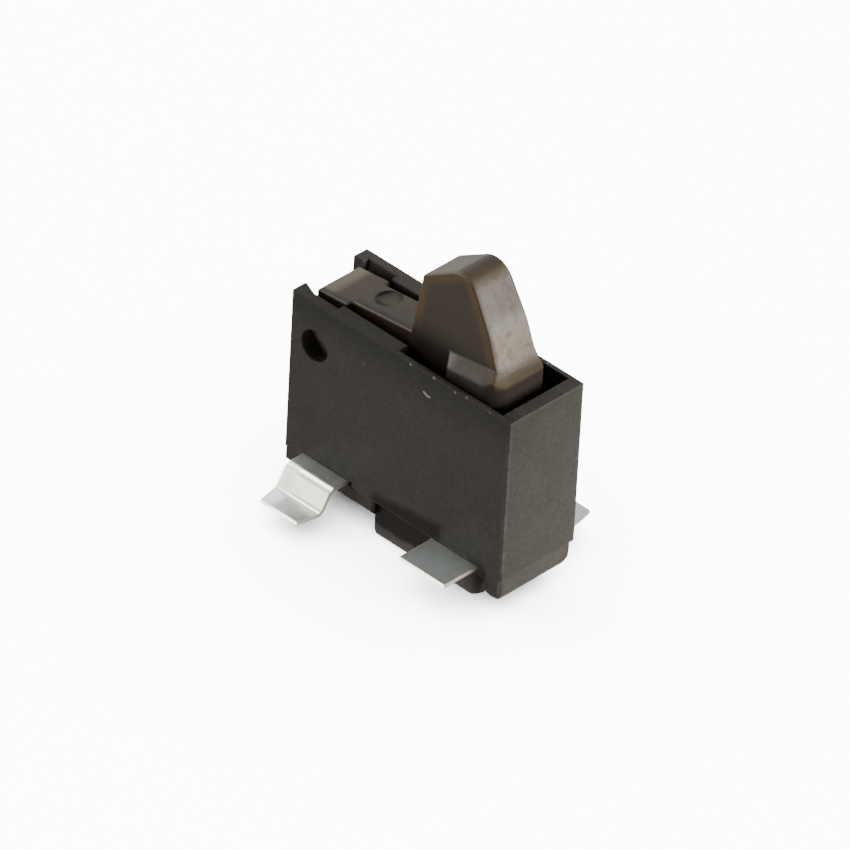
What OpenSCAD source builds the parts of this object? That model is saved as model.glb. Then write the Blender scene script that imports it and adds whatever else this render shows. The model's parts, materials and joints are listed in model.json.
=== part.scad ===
// Lever-type detector switch for surface mounting. A sprung, cam-shaped lever pivots in
// the ears of an open-topped case and carries a contact clip down between two blades.
// X runs from the pivot end to the free end, Y across the body and Z up. The origin is
// under the middle of the body, level with the underside of the locating boss.

/* [Case] */
// Length of the case
case_len = 6.5; // [6.3:0.05:7]
// Width of the case
case_wid = 2.23; // [2.15:0.01:2.6]
// Height of the case from its joint with the base to its rim
case_high = 4.14; // [4.05:0.01:4.6]
// Thickness of the side walls round the pivot
ear_wall = 0.4; // [0.34:0.01:0.44]
// Thickness of the side walls beside the cam
thin_wall = 0.14; // [0.1:0.01:0.18]
// Distance from the pivot end at which the side walls turn thin
thin_from = 3.1; // [2.95:0.05:3.15]
// Thickness of the wall at the free end
end_wall = 0.35; // [0.25:0.01:0.4]
// Thickness of the wall at the pivot end, below the pivot
heel_wall = 0.22; // [0.18:0.01:0.3]
// Length of the lip on which the lever's tail rests
lip_len = 0.5; // [0.4:0.01:0.6]
// Chamfer on the top corner of each ear
ear_chamfer = 0.06; // [0.04:0.01:0.2]
// Width of the lead-in groove over each pivot hole
groove_wid = 0.86; // [0.8:0.01:0.95]
// Depth of the lead-in groove at the rim
groove_deep = 0.13; // [0.05:0.01:0.2]

/* [Pivot] */
// Distance of the pivot axis from the pivot end of the case
pivot_in = 0.73; // [0.7:0.01:0.8]
// Depth of the pivot axis below the rim
pivot_deep = 1.13; // [1.05:0.01:1.2]
// Radius of the lever's trunnions
trunnion_r = 0.34; // [0.28:0.01:0.36]
// Radial clearance of a trunnion in its hole
pivot_gap = 0.04; // [0.02:0.01:0.08]
// Radius of the lever's hub round the pivot axis
hub_r = 0.46; // [0.42:0.01:0.48]
// Angle through which the lever can be pressed
press_angle = 25; // [15:1:26]

/* [Lever] */
// Width of the arm at the hub
arm_wid = 1.28; // [1.1:0.01:1.3]
// Width of the arm between the hub and the cam
waist_wid = 0.97; // [0.8:0.01:1.1]
// Distance from the pivot axis at which the arm narrows
waist_from = 0.47; // [0.46:0.01:0.7]
// Distance that the arm runs behind the pivot axis
tail_len = 0.46; // [0.4:0.01:0.48]
// Height of the arm's top face above the pivot axis, at the tail
tail_high = 1.03; // [0.95:0.01:1.15]
// Distance of the foot of the cam from the pivot axis
cam_from = 2.29; // [2.2:0.01:2.35]
// Height of the arm's top face above the pivot axis, at the cam
cam_foot_high = 1.31; // [1.2:0.01:1.4]
// Height of the cam's near corner above the pivot axis
cam_corner_high = 2.97; // [2.7:0.01:3.1]
// Amount by which the cam's rear face leans forward
cam_lean = 0.22; // [0.1:0.01:0.3]
// Angle at which the top of the cam rises
cam_rise = 31; // [28:1:35]
// Radius of the cam's rounded peak
cam_peak_r = 0.52; // [0.4:0.01:0.6]
// Steepness of the upper half of the cam's working face
cam_slope = 60; // [58:1:63]
// Steepness of the lower half of the cam's working face
cam_low_slope = 70; // [67:1:72]
// Height above the pivot axis at which the two halves of the working face meet
cam_knee_high = 2.44; // [2.2:0.01:2.6]
// Radius that blends the two halves of the working face
cam_knee_r = 1.5; // [1:0.1:2]
// Width of the cam at its foot
cam_wid = 1.22; // [1.1:0.01:1.24]
// Width of the cam at its near corner
cam_top_wid = 1.12; // [1.04:0.01:1.2]
// Gap between the lever's free end and the end wall of the case
lever_gap = 0.33; // [0.25:0.01:0.4]
// Distance behind the free end at which the working face ends
slope_end_in = 0.21; // [0.15:0.01:0.4]
// Height above the pivot axis at which the working face ends
slope_end_high = 1.51; // [1.4:0.01:1.6]
// Radius that rounds the toe over the free end
toe_r = 0.12; // [0.05:0.01:0.2]
// Radius that rounds the free end in plan, on the side of the ledge
nose_r = 0.28; // [0.1:0.01:0.3]
// Length of the side ledge, back from the free end
ledge_len = 1.65; // [1.4:0.01:1.7]
// Thickness of the side ledge
ledge_thick = 0.8; // [0.5:0.01:0.85]
// Height of the side ledge above the pivot axis, where it meets the cam
ledge_high = 1.56; // [1.4:0.01:1.6]
// Slant of the rear end of the side ledge, along the lever
ledge_slant = 0.22; // [0.1:0.01:0.3]
// Slope of the top of the side ledge
ledge_slope = 36; // [15:1:40]
// Clearance between the side ledge and the case
ledge_gap = 0.06; // [0.04:0.01:0.1]
// Depth of the foot of the lever below the pivot axis
foot_deep = 0.29; // [0.2:0.01:0.35]
// Radius of the round recess in the arm
dimple_r = 0.29; // [0.2:0.01:0.34]
// Depth of the round recess in the arm
dimple_deep = 0.16; // [0.08:0.01:0.3]
// Distance of the round recess from the pivot axis
dimple_at = 0.94; // [0.85:0.01:1.1]
// Sideways offset of the round recess
dimple_side = 0.12; // [0:0.01:0.14]

/* [Base] */
// Thickness of the base between its seat and the case
deck_thick = 0.33; // [0.3:0.01:0.45]
// Height of the plug that the base holds inside the case
plug_high = 0.3; // [0.25:0.01:0.4]
// Clearance between the plug and the case
plug_gap = 0.03; // [0.02:0.005:0.06]
// Depth of the locating boss below the seat
boss_deep = 0.67; // [0.5:0.01:0.9]
// Distance of the locating boss from the pivot end
boss_from = 2.62; // [2.5:0.01:2.7]
// Gap between the locating boss and the end foot
boss_gap = 0.42; // [0.3:0.01:0.8]
// Height of the chamfer round the bottom of the locating boss
boss_chamfer_high = 0.2; // [0.1:0.01:0.3]
// Depth of the chamfer round the bottom of the locating boss
boss_chamfer_deep = 0.08; // [0.04:0.01:0.15]
// Amount by which the base is set in on its terminal side
near_inset = 0.12; // [0.05:0.01:0.14]
// Amount by which the base is set in on the other side
far_inset = 0.15; // [0.05:0.01:0.16]
// Amount by which the base is set in at the pivot end
heel_inset = 0.05; // [0.02:0.01:0.1]
// Distance from the pivot end at which the near side is set in
recess_from = 2.74; // [2.7:0.01:2.8]
// Length of the end foot
end_foot_len = 0.46; // [0.4:0.01:0.56]
// Depth of the end foot below the seat
end_foot_deep = 0.35; // [0.2:0.01:0.5]
// Radius that rounds the end foot at the free end
end_foot_r = 0.38; // [0.2:0.01:0.45]
// Chamfer along each side of the end foot
end_foot_chamfer = 0.15; // [0.05:0.01:0.2]
// Length of the stop under the lever's foot
stop_len = 0.4; // [0.3:0.05:0.6]
// Height of the peg that centres the spring
peg_high = 0.25; // [0.15:0.01:0.35]

/* [Terminals] */
// Thickness of the terminal sheet
sheet = 0.1; // [0.08:0.01:0.12]
// Width of a solder lead
lead_wid = 1.35; // [1.2:0.01:1.4]
// Width of a solder lead at its toe
toe_wid = 1.1; // [0.9:0.01:1.2]
// Distance of the common terminal's leads from the pivot end
common_in = 0.56; // [0.5:0.01:0.62]
// Distance of the switching terminal's leads from the free end
switch_in = 0.72; // [0.66:0.01:0.78]
// Distance that a solder lead stands out from the case
lead_reach = 1.38; // [1.25:0.01:1.5]
// Distance that a flat tab stands out from the case
tab_reach = 0.97; // [0.7:0.01:1.1]
// Length of a lead's flat stretch before it slopes down
lead_run = 0.46; // [0.35:0.01:0.5]
// Length that the sloping stretch covers
slope_run = 0.3; // [0.2:0.01:0.4]
// Radius of the bends in a lead
lead_bend = 0.24; // [0.16:0.01:0.28]
// Drop of a solder foot below the seat of the base
foot_drop = 0.15; // [0.05:0.01:0.2]
// Height of the standing contact blades above the deck
blade_high = 2.15; // [1.8:0.01:2.25]
// Width of the contact blades
blade_wid = 0.85; // [0.6:0.01:0.9]
// Distance of the blades behind the step in the side walls
blade_back = 0.1; // [0.05:0.01:0.15]
// Gap between a blade and the side wall
blade_gap = 0.07; // [0.04:0.01:0.1]
// Distance of a terminal's inner link from the middle plane
link_in = 0.3; // [0.2:0.01:0.4]
// Clearance between a terminal and the plastic round it
sheet_gap = 0.01; // [0.005:0.005:0.02]
// Length of the notch left open beside a terminal's root
notch_play = 0.12; // [0.05:0.01:0.2]

/* [Contact clip and spring] */
// Thickness of the contact clip's sheet
clip_sheet = 0.08; // [0.05:0.01:0.09]
// Length of the contact clip along the lever
clip_len = 0.4; // [0.3:0.01:0.42]
// Distance of the middle of the clip from the pivot axis
clip_at = 3.09; // [3.05:0.01:3.15]
// Depth of the keel that carries the clip, below the pivot axis
keel_deep = 0.72; // [0.6:0.01:0.8]
// Width of the keel that carries the clip
keel_wid = 0.66; // [0.5:0.01:0.8]
// Amount by which the keel stands out at each end of the clip
keel_edge = 0.06; // [0.03:0.01:0.1]
// Height of the clip's straight feet
clip_foot = 0.16; // [0.1:0.01:0.2]
// Height at which the clip's fingers are widest
clip_nose = 0.42; // [0.36:0.01:0.5]
// Height of the clip's fingers
clip_high = 0.62; // [0.55:0.01:0.66]
// Amount by which the tip of each finger turns in
clip_tip_in = 0.1; // [0.05:0.01:0.15]
// Gap between the clip's fingers and the blades
contact_gap = 0.02; // [0.01:0.01:0.05]
// Mean radius of the return spring
coil_r = 0.42; // [0.38:0.01:0.46]
// Diameter of the return spring's wire
wire_d = 0.1; // [0.08:0.01:0.13]
// Turns in the return spring
coil_turns = 7; // [5:1:9]
// Distance of the return spring from the pivot axis
spring_at = 1.62; // [1.55:0.01:1.68]
// Gap left at each end of the return spring
spring_gap = 0.01; // [0.005:0.005:0.03]
// Clearance between the spring and the pegs inside it
peg_gap = 0.05; // [0.03:0.01:0.1]
// Length of the lever's post inside the spring
post_len = 0.12; // [0.05:0.01:0.2]

/* [Hidden] */
$fn = 48;
arc_steps = 8;
over = 0.1;
heel_x = -case_len / 2;
end_x = case_len / 2;
half_wid = case_wid / 2;
seat_z = boss_deep;
deck_z = seat_z + deck_thick;
rim_z = deck_z + case_high;
pivot_x = heel_x + pivot_in;
pivot_z = rim_z - pivot_deep;
hub_gap = 0.06;
tail_under = hub_r + hub_gap;
stop_gap = 0.02;
edge_r = 0.05;
recess_to = end_x - end_foot_len;
boss_to = recess_to - boss_gap;
lever_reach = case_len - pivot_in - end_wall - lever_gap;
ledge_from = lever_reach - ledge_len;
plug_z = deck_z + plug_high;
ear_room = half_wid - ear_wall;
thin_room = half_wid - thin_wall;
trunnion_reach = half_wid - 0.05;
trunnion_bevel = 0.3;
bevel_turn = 37;
cam_high = cam_corner_high + 1;
arm_tilt = atan((cam_foot_high - tail_high) / (cam_from + tail_len));
peg_r = coil_r - wire_d / 2 - peg_gap;
common_z = deck_z + sheet / 2;
switch_z = deck_z - sheet / 2;
foot_z = seat_z - foot_drop + sheet / 2;
blade_x = heel_x + thin_from + blade_back;
blade_face = thin_room - blade_gap - sheet;

function unit(v) = v / norm(v);
function cross2(a, b) = a[0] * b[1] - a[1] * b[0];

// Arc of radius c[2] that rounds the corner c between its neighbours p and n.
function corner_arc(p, c, n) =
    let(a = unit([p[0] - c[0], p[1] - c[1]]), b = unit([n[0] - c[0], n[1] - c[1]]),
        half = acos(a * b) / 2, mid = unit(a + b), centre = [c[0], c[1]] + mid * c[2] / sin(half),
        start = [c[0], c[1]] + a * c[2] / tan(half) - centre,
        turn = sign(cross2(b, a)) * (180 - 2 * half))
    [for (i = [0 : arc_steps])
        let(t = turn * i / arc_steps)
        centre + [start[0] * cos(t) - start[1] * sin(t), start[0] * sin(t) + start[1] * cos(t)]];

// Closed outline through corners given as [x, y, radius].
function outline(corners) =
    let(last = len(corners) - 1)
    [for (i = [0 : last])
        each corners[i][2] > 0
            ? corner_arc(corners[i == 0 ? last : i - 1], corners[i], corners[i == last ? 0 : i + 1])
            : [[corners[i][0], corners[i][1]]]];

// Open line through corners given as [x, y, radius].
function bent_line(corners) =
    let(last = len(corners) - 1)
    [for (i = [0 : last])
        each i == 0 || i == last || corners[i][2] == 0
            ? [[corners[i][0], corners[i][1]]]
            : corner_arc(corners[i - 1], corners[i], corners[i + 1])];

// Outline of a sheet of the given thickness, bent along an open line.
function sheet_outline(line, thick) =
    let(last = len(line) - 1,
        along = [for (i = [0 : last - 1]) unit(line[i + 1] - line[i])],
        side = [for (i = [0 : last])
            let(a = along[max(i - 1, 0)], b = along[min(i, last - 1)], m = unit(a + b))
            [-m[1], m[0]] * thick / 2 / (m * a)])
    concat([for (i = [0 : last]) line[i] + side[i]],
           [for (i = [last : -1 : 0]) line[i] - side[i]]);

module box(low, high) {
    translate(low)
        cube(high - low);
}

// Extrudes a profile drawn in X and Z evenly to both sides of the middle plane.
module across(width) {
    rotate([90, 0, 0])
        linear_extrude(width, center = true)
            children();
}

// Extrudes a profile drawn in Y and Z along X, from x to x + length.
module lengthways(x, length) {
    translate([x, 0, 0])
        rotate([90, 0, 90])
            linear_extrude(length)
                children();
}

module at_pivot() {
    translate([pivot_x, 0, pivot_z])
        children();
}

// ---- Case ----

// Ramps down which the trunnions ride; the -Y one runs out through the pivot end.
module ear_grooves() {
    top = rim_z + over;
    bottom = pivot_z + trunnion_r + pivot_gap + stop_gap;
    slope = groove_deep / (rim_z - bottom);
    groove_end = pivot_x + groove_wid / 2;
    for (side = [-1, 1])
        let(start = side < 0 ? heel_x - over : groove_end - groove_wid)
        scale([1, side, 1])
            lengthways(start, groove_end - start)
                polygon([[ear_room - over, bottom], [ear_room, bottom],
                         [ear_room + slope * (top - bottom), top], [ear_room - over, top]]);
}

module case_notches() {
    low = deck_z - over;
    high = deck_z + sheet + 2 * sheet_gap;
    box([heel_x + common_in - sheet_gap, -half_wid - over, low],
        [heel_x + common_in + lead_wid + notch_play, half_wid + over, high]);
}

module case() {
    color([0.16, 0.155, 0.15])
    difference() {
        across(case_wid)
            polygon([[heel_x, deck_z], [end_x, deck_z], [end_x, rim_z],
                     [heel_x + ear_chamfer, rim_z], [heel_x, rim_z - ear_chamfer]]);
        // cavity between the ears, open at the pivot end above the stop lip
        box([heel_x - over, -ear_room, pivot_z + tail_under - stop_gap],
            [heel_x + thin_from + over, ear_room, rim_z + over]);
        box([heel_x + lip_len, -ear_room, deck_z - over],
            [heel_x + thin_from + over, ear_room, rim_z]);
        at_pivot()
            rotate([90, 0, 0])
                cylinder(r = hub_r + hub_gap, h = 2 * ear_room, center = true);
        box([heel_x + heel_wall, -ear_room, deck_z - over],
            [heel_x + lip_len + over, ear_room, pivot_z]);
        // wider cavity beside the cam
        box([heel_x + thin_from, -thin_room, deck_z - over],
            [end_x - end_wall, thin_room, rim_z + over]);
        ear_grooves();
        at_pivot()
            rotate([90, 0, 0])
                cylinder(r = trunnion_r + pivot_gap, h = case_wid + 2 * over, center = true);
        case_notches();
    }
}

// ---- Base ----

module base() {
    color([0.15, 0.145, 0.14])
    difference() {
        union() {
            // deck, set in along the middle of the -Y side
            box([heel_x + heel_inset, -half_wid, seat_z],
                [heel_x + recess_from, half_wid - far_inset, deck_z]);
            box([heel_x + recess_from - over, -half_wid + near_inset, seat_z],
                [recess_to + over, half_wid - far_inset, deck_z]);
            end_foot();
            locating_boss();
            plug();
        }
        terminal_cutter("common");
        terminal_cutter("switch");
    }
}

// Foot under the free end, rounded off towards it.
module end_foot() {
    low = seat_z - end_foot_deep;
    far_y = half_wid - far_inset;
    intersection() {
        across(case_wid + over)
            polygon(outline([[recess_to, deck_z, 0], [recess_to, low, edge_r],
                             [end_x, low, end_foot_r], [end_x, deck_z, 0]]));
        lengthways(recess_to - over, end_foot_len + 2 * over)
            polygon([[-half_wid, deck_z], [-half_wid, seat_z - end_foot_chamfer],
                     [-half_wid + end_foot_chamfer, low], [far_y - end_foot_chamfer, low],
                     [far_y, seat_z], [far_y, deck_z]]);
    }
}

module locating_boss() {
    low_y = -half_wid + near_inset;
    high_y = half_wid - far_inset;
    x0 = heel_x + boss_from;
    x1 = boss_to;
    intersection() {
        linear_extrude(seat_z + over)
            polygon(outline([[x0, low_y, edge_r], [x1, low_y, 7 * edge_r],
                             [x1, high_y, 7 * edge_r], [x0, high_y, edge_r]]));
        lengthways(x0 - over, x1 - x0 + 2 * over)
            polygon([[low_y, seat_z + over], [low_y, boss_chamfer_high],
                     [low_y + boss_chamfer_deep, 0], [high_y - boss_chamfer_deep, 0],
                     [high_y, boss_chamfer_high], [high_y, seat_z + over]]);
    }
}

// Plug inside the case, with the stop under the lever's foot and the spring's peg.
module plug() {
    plug_y = ear_room - plug_gap;
    stop_x = pivot_x + lever_reach * cos(press_angle) - foot_deep * sin(press_angle);
    stop_z = pivot_z - lever_reach * sin(press_angle) - foot_deep * cos(press_angle) - stop_gap;
    box([heel_x + heel_wall + plug_gap, -plug_y, deck_z - over],
        [end_x - end_wall - plug_gap, plug_y, plug_z]);
    box([stop_x - stop_len / 2, -cam_wid / 2, plug_z - over],
        [stop_x + stop_len / 2, cam_wid / 2, stop_z]);
    translate([pivot_x + spring_at, 0, plug_z - over])
        cylinder(r = peg_r, h = peg_high + over);
}

// ---- Terminals ----

// Line of a lead in Y and Z from the middle of the body to its solder foot, for the +Y side.
function lead_line(level) =
    let(root = half_wid + lead_run, toe = half_wid + lead_reach)
    bent_line([[0, level, 0], [root, level, lead_bend], [root + slope_run, foot_z, lead_bend],
               [toe, foot_z, 0]]);

// Plan of a lead that narrows along its solder foot, on the +Y side.
module lead_plan(x, wid) {
    knee = half_wid + lead_run + slope_run;
    toe = half_wid + lead_reach;
    taper = (wid - toe_wid) / 2;
    linear_extrude(rim_z)
        polygon([[x, -over], [x + wid, -over], [x + wid, knee], [x + wid - taper, toe + over],
                 [x + taper, toe + over], [x, knee]]);
}

// One stamped terminal: a strip across the body with a formed solder lead on one side and a
// flat tab on the other, and a link that carries a standing blade. lead_side is -1 or 1.
module terminal(leads_x, level, lead_side, link_side, gap = 0) {
    thick = sheet + 2 * gap;
    link_near = min(leads_x + lead_wid - over, blade_x);
    link_far = max(leads_x + over, blade_x + blade_wid);
    scale([1, lead_side, 1])
        intersection() {
            lengthways(leads_x - gap, lead_wid + 2 * gap)
                polygon(sheet_outline(lead_line(level), thick));
            lead_plan(leads_x - gap, lead_wid + 2 * gap);
        }
    scale([1, lead_side, 1])
        box([leads_x - gap, -half_wid - tab_reach, level - thick / 2],
            [leads_x + lead_wid + gap, over, level + thick / 2]);
    scale([1, link_side, 1]) {
        box([link_near - gap, link_in - gap, level - thick / 2],
            [link_far + gap, ear_room - 2 * plug_gap + gap, level + thick / 2]);
        box([blade_x - gap, link_in - gap, level - thick / 2],
            [blade_x + blade_wid + gap, blade_face + sheet + gap, level + thick / 2]);
        box([blade_x - gap, blade_face - gap, level - thick / 2],
            [blade_x + blade_wid + gap, blade_face + sheet + gap, deck_z + blade_high]);
    }
}

module common_terminal() {
    color([0.8, 0.8, 0.78])
        terminal(heel_x + common_in, common_z, -1, -1);
}

module switch_terminal() {
    color([0.78, 0.78, 0.76])
        terminal(end_x - switch_in - lead_wid, switch_z, 1, 1);
}

module terminal_cutter(which) {
    if (which == "common")
        terminal(heel_x + common_in, common_z, -1, -1, sheet_gap);
    else
        terminal(end_x - switch_in - lead_wid, switch_z, 1, 1, sheet_gap);
}

// ---- Lever ----

// Side outline of the arm and cam, measured from the pivot axis.
function lever_outline() =
    let(corner_x = cam_from + cam_lean,
        slope_end_x = lever_reach - slope_end_in,
        knee_x = slope_end_x - (cam_knee_high - slope_end_high) / tan(cam_low_slope),
        peak_x = (knee_x * tan(cam_slope) + corner_x * tan(cam_rise) + cam_knee_high
                  - cam_corner_high) / (tan(cam_rise) + tan(cam_slope)),
        peak_z = cam_corner_high + (peak_x - corner_x) * tan(cam_rise))
    outline([[-tail_len, tail_under, edge_r], [-tail_len, tail_high, edge_r],
             [cam_from, cam_foot_high, edge_r], [corner_x, cam_corner_high, 2 * edge_r],
             [peak_x, peak_z, cam_peak_r], [knee_x, cam_knee_high, cam_knee_r],
             [slope_end_x, slope_end_high, 2 * edge_r],
             [lever_reach, slope_end_high - toe_r / 2, toe_r],
             [lever_reach, -foot_deep, edge_r], [ledge_from, -foot_deep, edge_r],
             [ledge_from - foot_deep / 2, 0, 0], [0, 0, 0], [-2 * edge_r, tail_under, 0]]);

module lever() {
    color([0.36, 0.3, 0.25])
    at_pivot()
    difference() {
        union() {
            arm();
            cam();
            side_ledge();
            // keel for the contact clip
            box([clip_at - clip_len / 2 - keel_edge, -keel_wid / 2, -keel_deep],
                [clip_at + clip_len / 2 + keel_edge, keel_wid / 2, over]);
            rotate([90, 0, 0])
                cylinder(r = hub_r, h = arm_wid, center = true);
            trunnions();
            // post that centres the spring
            translate([spring_at, 0, -post_len])
                cylinder(r = peg_r, h = post_len + over);
        }
        translate([dimple_at, dimple_side, tail_high + (dimple_at + tail_len) * tan(arm_tilt)])
            rotate([0, -arm_tilt, 0])
                translate([0, 0, -dimple_deep])
                    cylinder(r = dimple_r, h = dimple_deep + over);
    }
}

// Arm behind the cam: wide at the hub, then narrow.
module arm() {
    intersection() {
        across(arm_wid)
            polygon(lever_outline());
        union() {
            box([-tail_len - over, -arm_wid, -1], [waist_from, arm_wid, 2]);
            box([0, -waist_wid / 2, -1], [cam_from + over, waist_wid / 2, 2]);
        }
    }
}

// Cam, tapered slightly towards its peak and rounded at the free end.
module cam() {
    half = cam_wid / 2;
    taper = (half - cam_top_wid / 2) / (cam_corner_high - slope_end_high);
    half_top = half - taper * (cam_high - slope_end_high);
    start = cam_from - edge_r / 2;
    intersection() {
        across(cam_wid)
            polygon(lever_outline());
        lengthways(start, lever_reach)
            polygon([[-half, -foot_deep], [half, -foot_deep], [half, slope_end_high],
                     [half_top, cam_high], [-half_top, cam_high], [-half, slope_end_high]]);
        translate([0, 0, -foot_deep])
            linear_extrude(foot_deep + cam_high)
                polygon(outline([[start, -half, 0], [lever_reach, -half, nose_r],
                                 [lever_reach, half, 2 * edge_r], [start, half, 0]]));
    }
}

// Ledge along the -Y side of the cam, out to the free end. Its top slopes outwards, its rear
// end is oblique, and the working face and the toe cut across its front.
module side_ledge() {
    cam_y = -cam_wid / 2;
    outer_y = -thin_room + ledge_gap;
    drop = (cam_y - outer_y) * tan(ledge_slope);
    intersection() {
        across(case_wid)
            polygon(lever_outline());
        translate([ledge_from, 0, ledge_high])
            rotate([0, -arm_tilt, 0])
                lengthways(-over, ledge_len + 2 * over)
                    polygon([[cam_y + over, -ledge_thick], [cam_y + over, 0], [cam_y, 0],
                             [outer_y, -drop], [outer_y, -ledge_thick]]);
        linear_extrude(cam_high)
            polygon(outline([[ledge_from, cam_y + over, 0], [ledge_from, cam_y, 0],
                             [ledge_from + ledge_slant, outer_y, 2 * edge_r],
                             [lever_reach, outer_y, nose_r], [lever_reach, cam_y + over, 0]]));
    }
}

// Trunnions that snap down into the holes, bevelled underneath to ride in over the grooves.
module trunnions() {
    reach = trunnion_reach;
    inner = reach - trunnion_bevel;
    flat_edge = trunnion_r - 2 * edge_r;
    intersection() {
        rotate([90, 0, 0])
            cylinder(r = trunnion_r, h = 2 * reach, center = true);
        rotate([0, bevel_turn, 0])
            lengthways(-1, 2)
                polygon([[-reach, 1], [-reach, flat_edge], [-inner, -trunnion_r], [-inner, -1],
                         [inner, -1], [inner, -trunnion_r], [reach, flat_edge], [reach, 1]]);
    }
}

// ---- Contact clip and spring ----

module moving_contact() {
    nose_y = blade_face - contact_gap - clip_sheet / 2;
    clip_z = -keel_deep - sheet_gap - clip_sheet / 2;
    foot_y = keel_wid / 2 + sheet_gap + clip_sheet / 2;
    bend_r = 0.75 * clip_sheet;
    half = bent_line([[0, clip_z, 0], [foot_y, clip_z, bend_r],
                      [foot_y, clip_z + clip_foot, bend_r],
                      [nose_y, clip_z + clip_nose, bend_r],
                      [nose_y - clip_tip_in, clip_z + clip_high, 0]]);
    color([0.83, 0.72, 0.45])
    at_pivot()
        for (side = [-1, 1])
            scale([1, side, 1])
                lengthways(clip_at - clip_len / 2, clip_len)
                    polygon(sheet_outline(half, clip_sheet));
}

// Tube of n sides swept along a list of points, closed at both ends.
module swept_wire(path, r, n) {
    last = len(path) - 1;
    rings = [for (i = [0 : last])
        let(a = path[max(i - 1, 0)], b = path[min(i + 1, last)], t = unit(b - a),
            u = unit(cross(t, [0, 0, 1])), v = cross(u, t))
        for (k = [0 : n - 1]) path[i] + r * (u * cos(360 * k / n) + v * sin(360 * k / n))];
    skin = [for (i = [0 : last - 1], k = [0 : n - 1])
        let(k2 = (k + 1) % n)
        [i * n + k, i * n + k2, (i + 1) * n + k2, (i + 1) * n + k]];
    polyhedron(rings, concat(skin, [[for (k = [n - 1 : -1 : 0]) k]],
                             [[for (k = [0 : n - 1]) last * n + k]]));
}

module return_spring() {
    bottom = plug_z + wire_d / 2 + spring_gap;
    top = pivot_z - wire_d / 2 - spring_gap;
    steps = 16;
    count = coil_turns * steps;
    dead = 1.1;
    // the end turns lie flat and the turns between them share the height
    function lift(turn) = let(open = (turn - dead) / (coil_turns - 2 * dead))
        min(max(open, 0), 1) * (top - bottom - 2 * wire_d)
        + min(turn / dead, 1) * wire_d + max(turn - coil_turns + dead, 0) / dead * wire_d;
    color([0.62, 0.63, 0.65])
        translate([pivot_x + spring_at, 0, bottom])
            swept_wire([for (i = [0 : count])
                [coil_r * cos(360 * i / steps), coil_r * sin(360 * i / steps), lift(i / steps)]],
                wire_d / 2, 8);
}

case();
base();
common_terminal();
switch_terminal();
lever();
moving_contact();
return_spring();
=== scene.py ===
import json
import math

import bmesh
import bpy
from bpy.props import FloatProperty, FloatVectorProperty, IntProperty, PointerProperty
from mathutils import Matrix, Vector

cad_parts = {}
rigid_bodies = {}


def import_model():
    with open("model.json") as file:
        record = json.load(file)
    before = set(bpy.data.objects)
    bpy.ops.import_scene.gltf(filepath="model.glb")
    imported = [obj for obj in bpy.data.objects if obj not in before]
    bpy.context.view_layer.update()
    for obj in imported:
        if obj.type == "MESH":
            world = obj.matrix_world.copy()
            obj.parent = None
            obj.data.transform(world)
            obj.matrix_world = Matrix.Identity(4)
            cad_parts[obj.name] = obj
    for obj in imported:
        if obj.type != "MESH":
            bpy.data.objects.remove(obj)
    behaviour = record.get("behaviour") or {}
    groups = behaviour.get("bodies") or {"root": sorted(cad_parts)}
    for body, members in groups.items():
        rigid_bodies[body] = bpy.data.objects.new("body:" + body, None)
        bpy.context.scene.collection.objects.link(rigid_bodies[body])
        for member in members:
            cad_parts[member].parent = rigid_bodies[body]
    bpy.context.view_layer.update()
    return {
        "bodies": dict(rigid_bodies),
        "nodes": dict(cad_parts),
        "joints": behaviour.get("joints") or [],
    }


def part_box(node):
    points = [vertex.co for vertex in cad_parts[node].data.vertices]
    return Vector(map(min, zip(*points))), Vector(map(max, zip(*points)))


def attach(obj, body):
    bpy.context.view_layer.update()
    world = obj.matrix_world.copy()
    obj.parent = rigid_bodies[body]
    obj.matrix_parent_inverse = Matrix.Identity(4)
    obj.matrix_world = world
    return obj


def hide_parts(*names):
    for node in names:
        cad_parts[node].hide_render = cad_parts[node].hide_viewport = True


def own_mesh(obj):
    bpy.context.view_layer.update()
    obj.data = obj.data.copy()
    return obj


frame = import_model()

bl_info = {
    "name": "Detector Switch",
    "version": (1, 0, 0),
    "blender": (4, 5, 0),
    "location": "View3D > Sidebar > Detector Switch",
    "description": "Models a lever-type detector switch for surface mounting, with its stage",
    "category": "Add Mesh",
}

MM = 0.001

CASE_LOW, CASE_HIGH = (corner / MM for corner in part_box("case"))
BASE_LOW, BASE_HIGH = (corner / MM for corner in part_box("base"))
PIVOT = Vector(frame["joints"][0]["pos_m"]) / MM
HEEL_X, END_X = CASE_LOW.x, CASE_HIGH.x
HALF_WIDTH = CASE_HIGH.y
DECK_Z, RIM_Z = CASE_LOW.z, CASE_HIGH.z
OVER = 0.1                                  # how far a cutting solid stands over, in millimetres
MERGE_DISTANCE = 0.0008                     # corners closer than this are one corner
FLAT_ANGLE = math.radians(0.4)              # faces that meet at less are one flat face
SMOOTH_ANGLE = math.radians(32)             # edges sharper than this stay sharp
SORTING_PLACE = (-97.3, -141.7, 233.1)      # far off, and in line with no edge
FLOOR_RADIUS = 1.5

# setting of a light's brightness, its place and size in metres, and what it lights
LIGHTS = (
    ("key", (0.18, 0.06, 0.06), (0.12, 0.12), "lit_parts"),
    ("overhead", (-0.02, 0.07, 0.19), (0.2, 0.2), "lit_parts"),
    ("left", (-0.16, -0.01, 0.085), (0.30, 0.15), "lit_parts"),
    ("card", (-0.082, -0.120, 0.042), (0.09, 0.06), "lit_parts"),
    ("bends", (-0.11, -0.01, 0.165), (0.055, 0.055), "lit_metal"),
    ("feet", (-0.145, 0.117, 0.072), (0.06, 0.04), "lit_metal"),
    ("under", (-0.09, -0.10, -0.10), (0.10, 0.10), "lit_metal"),
)


# ---- Sizes and colours that a user would change ----

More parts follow.
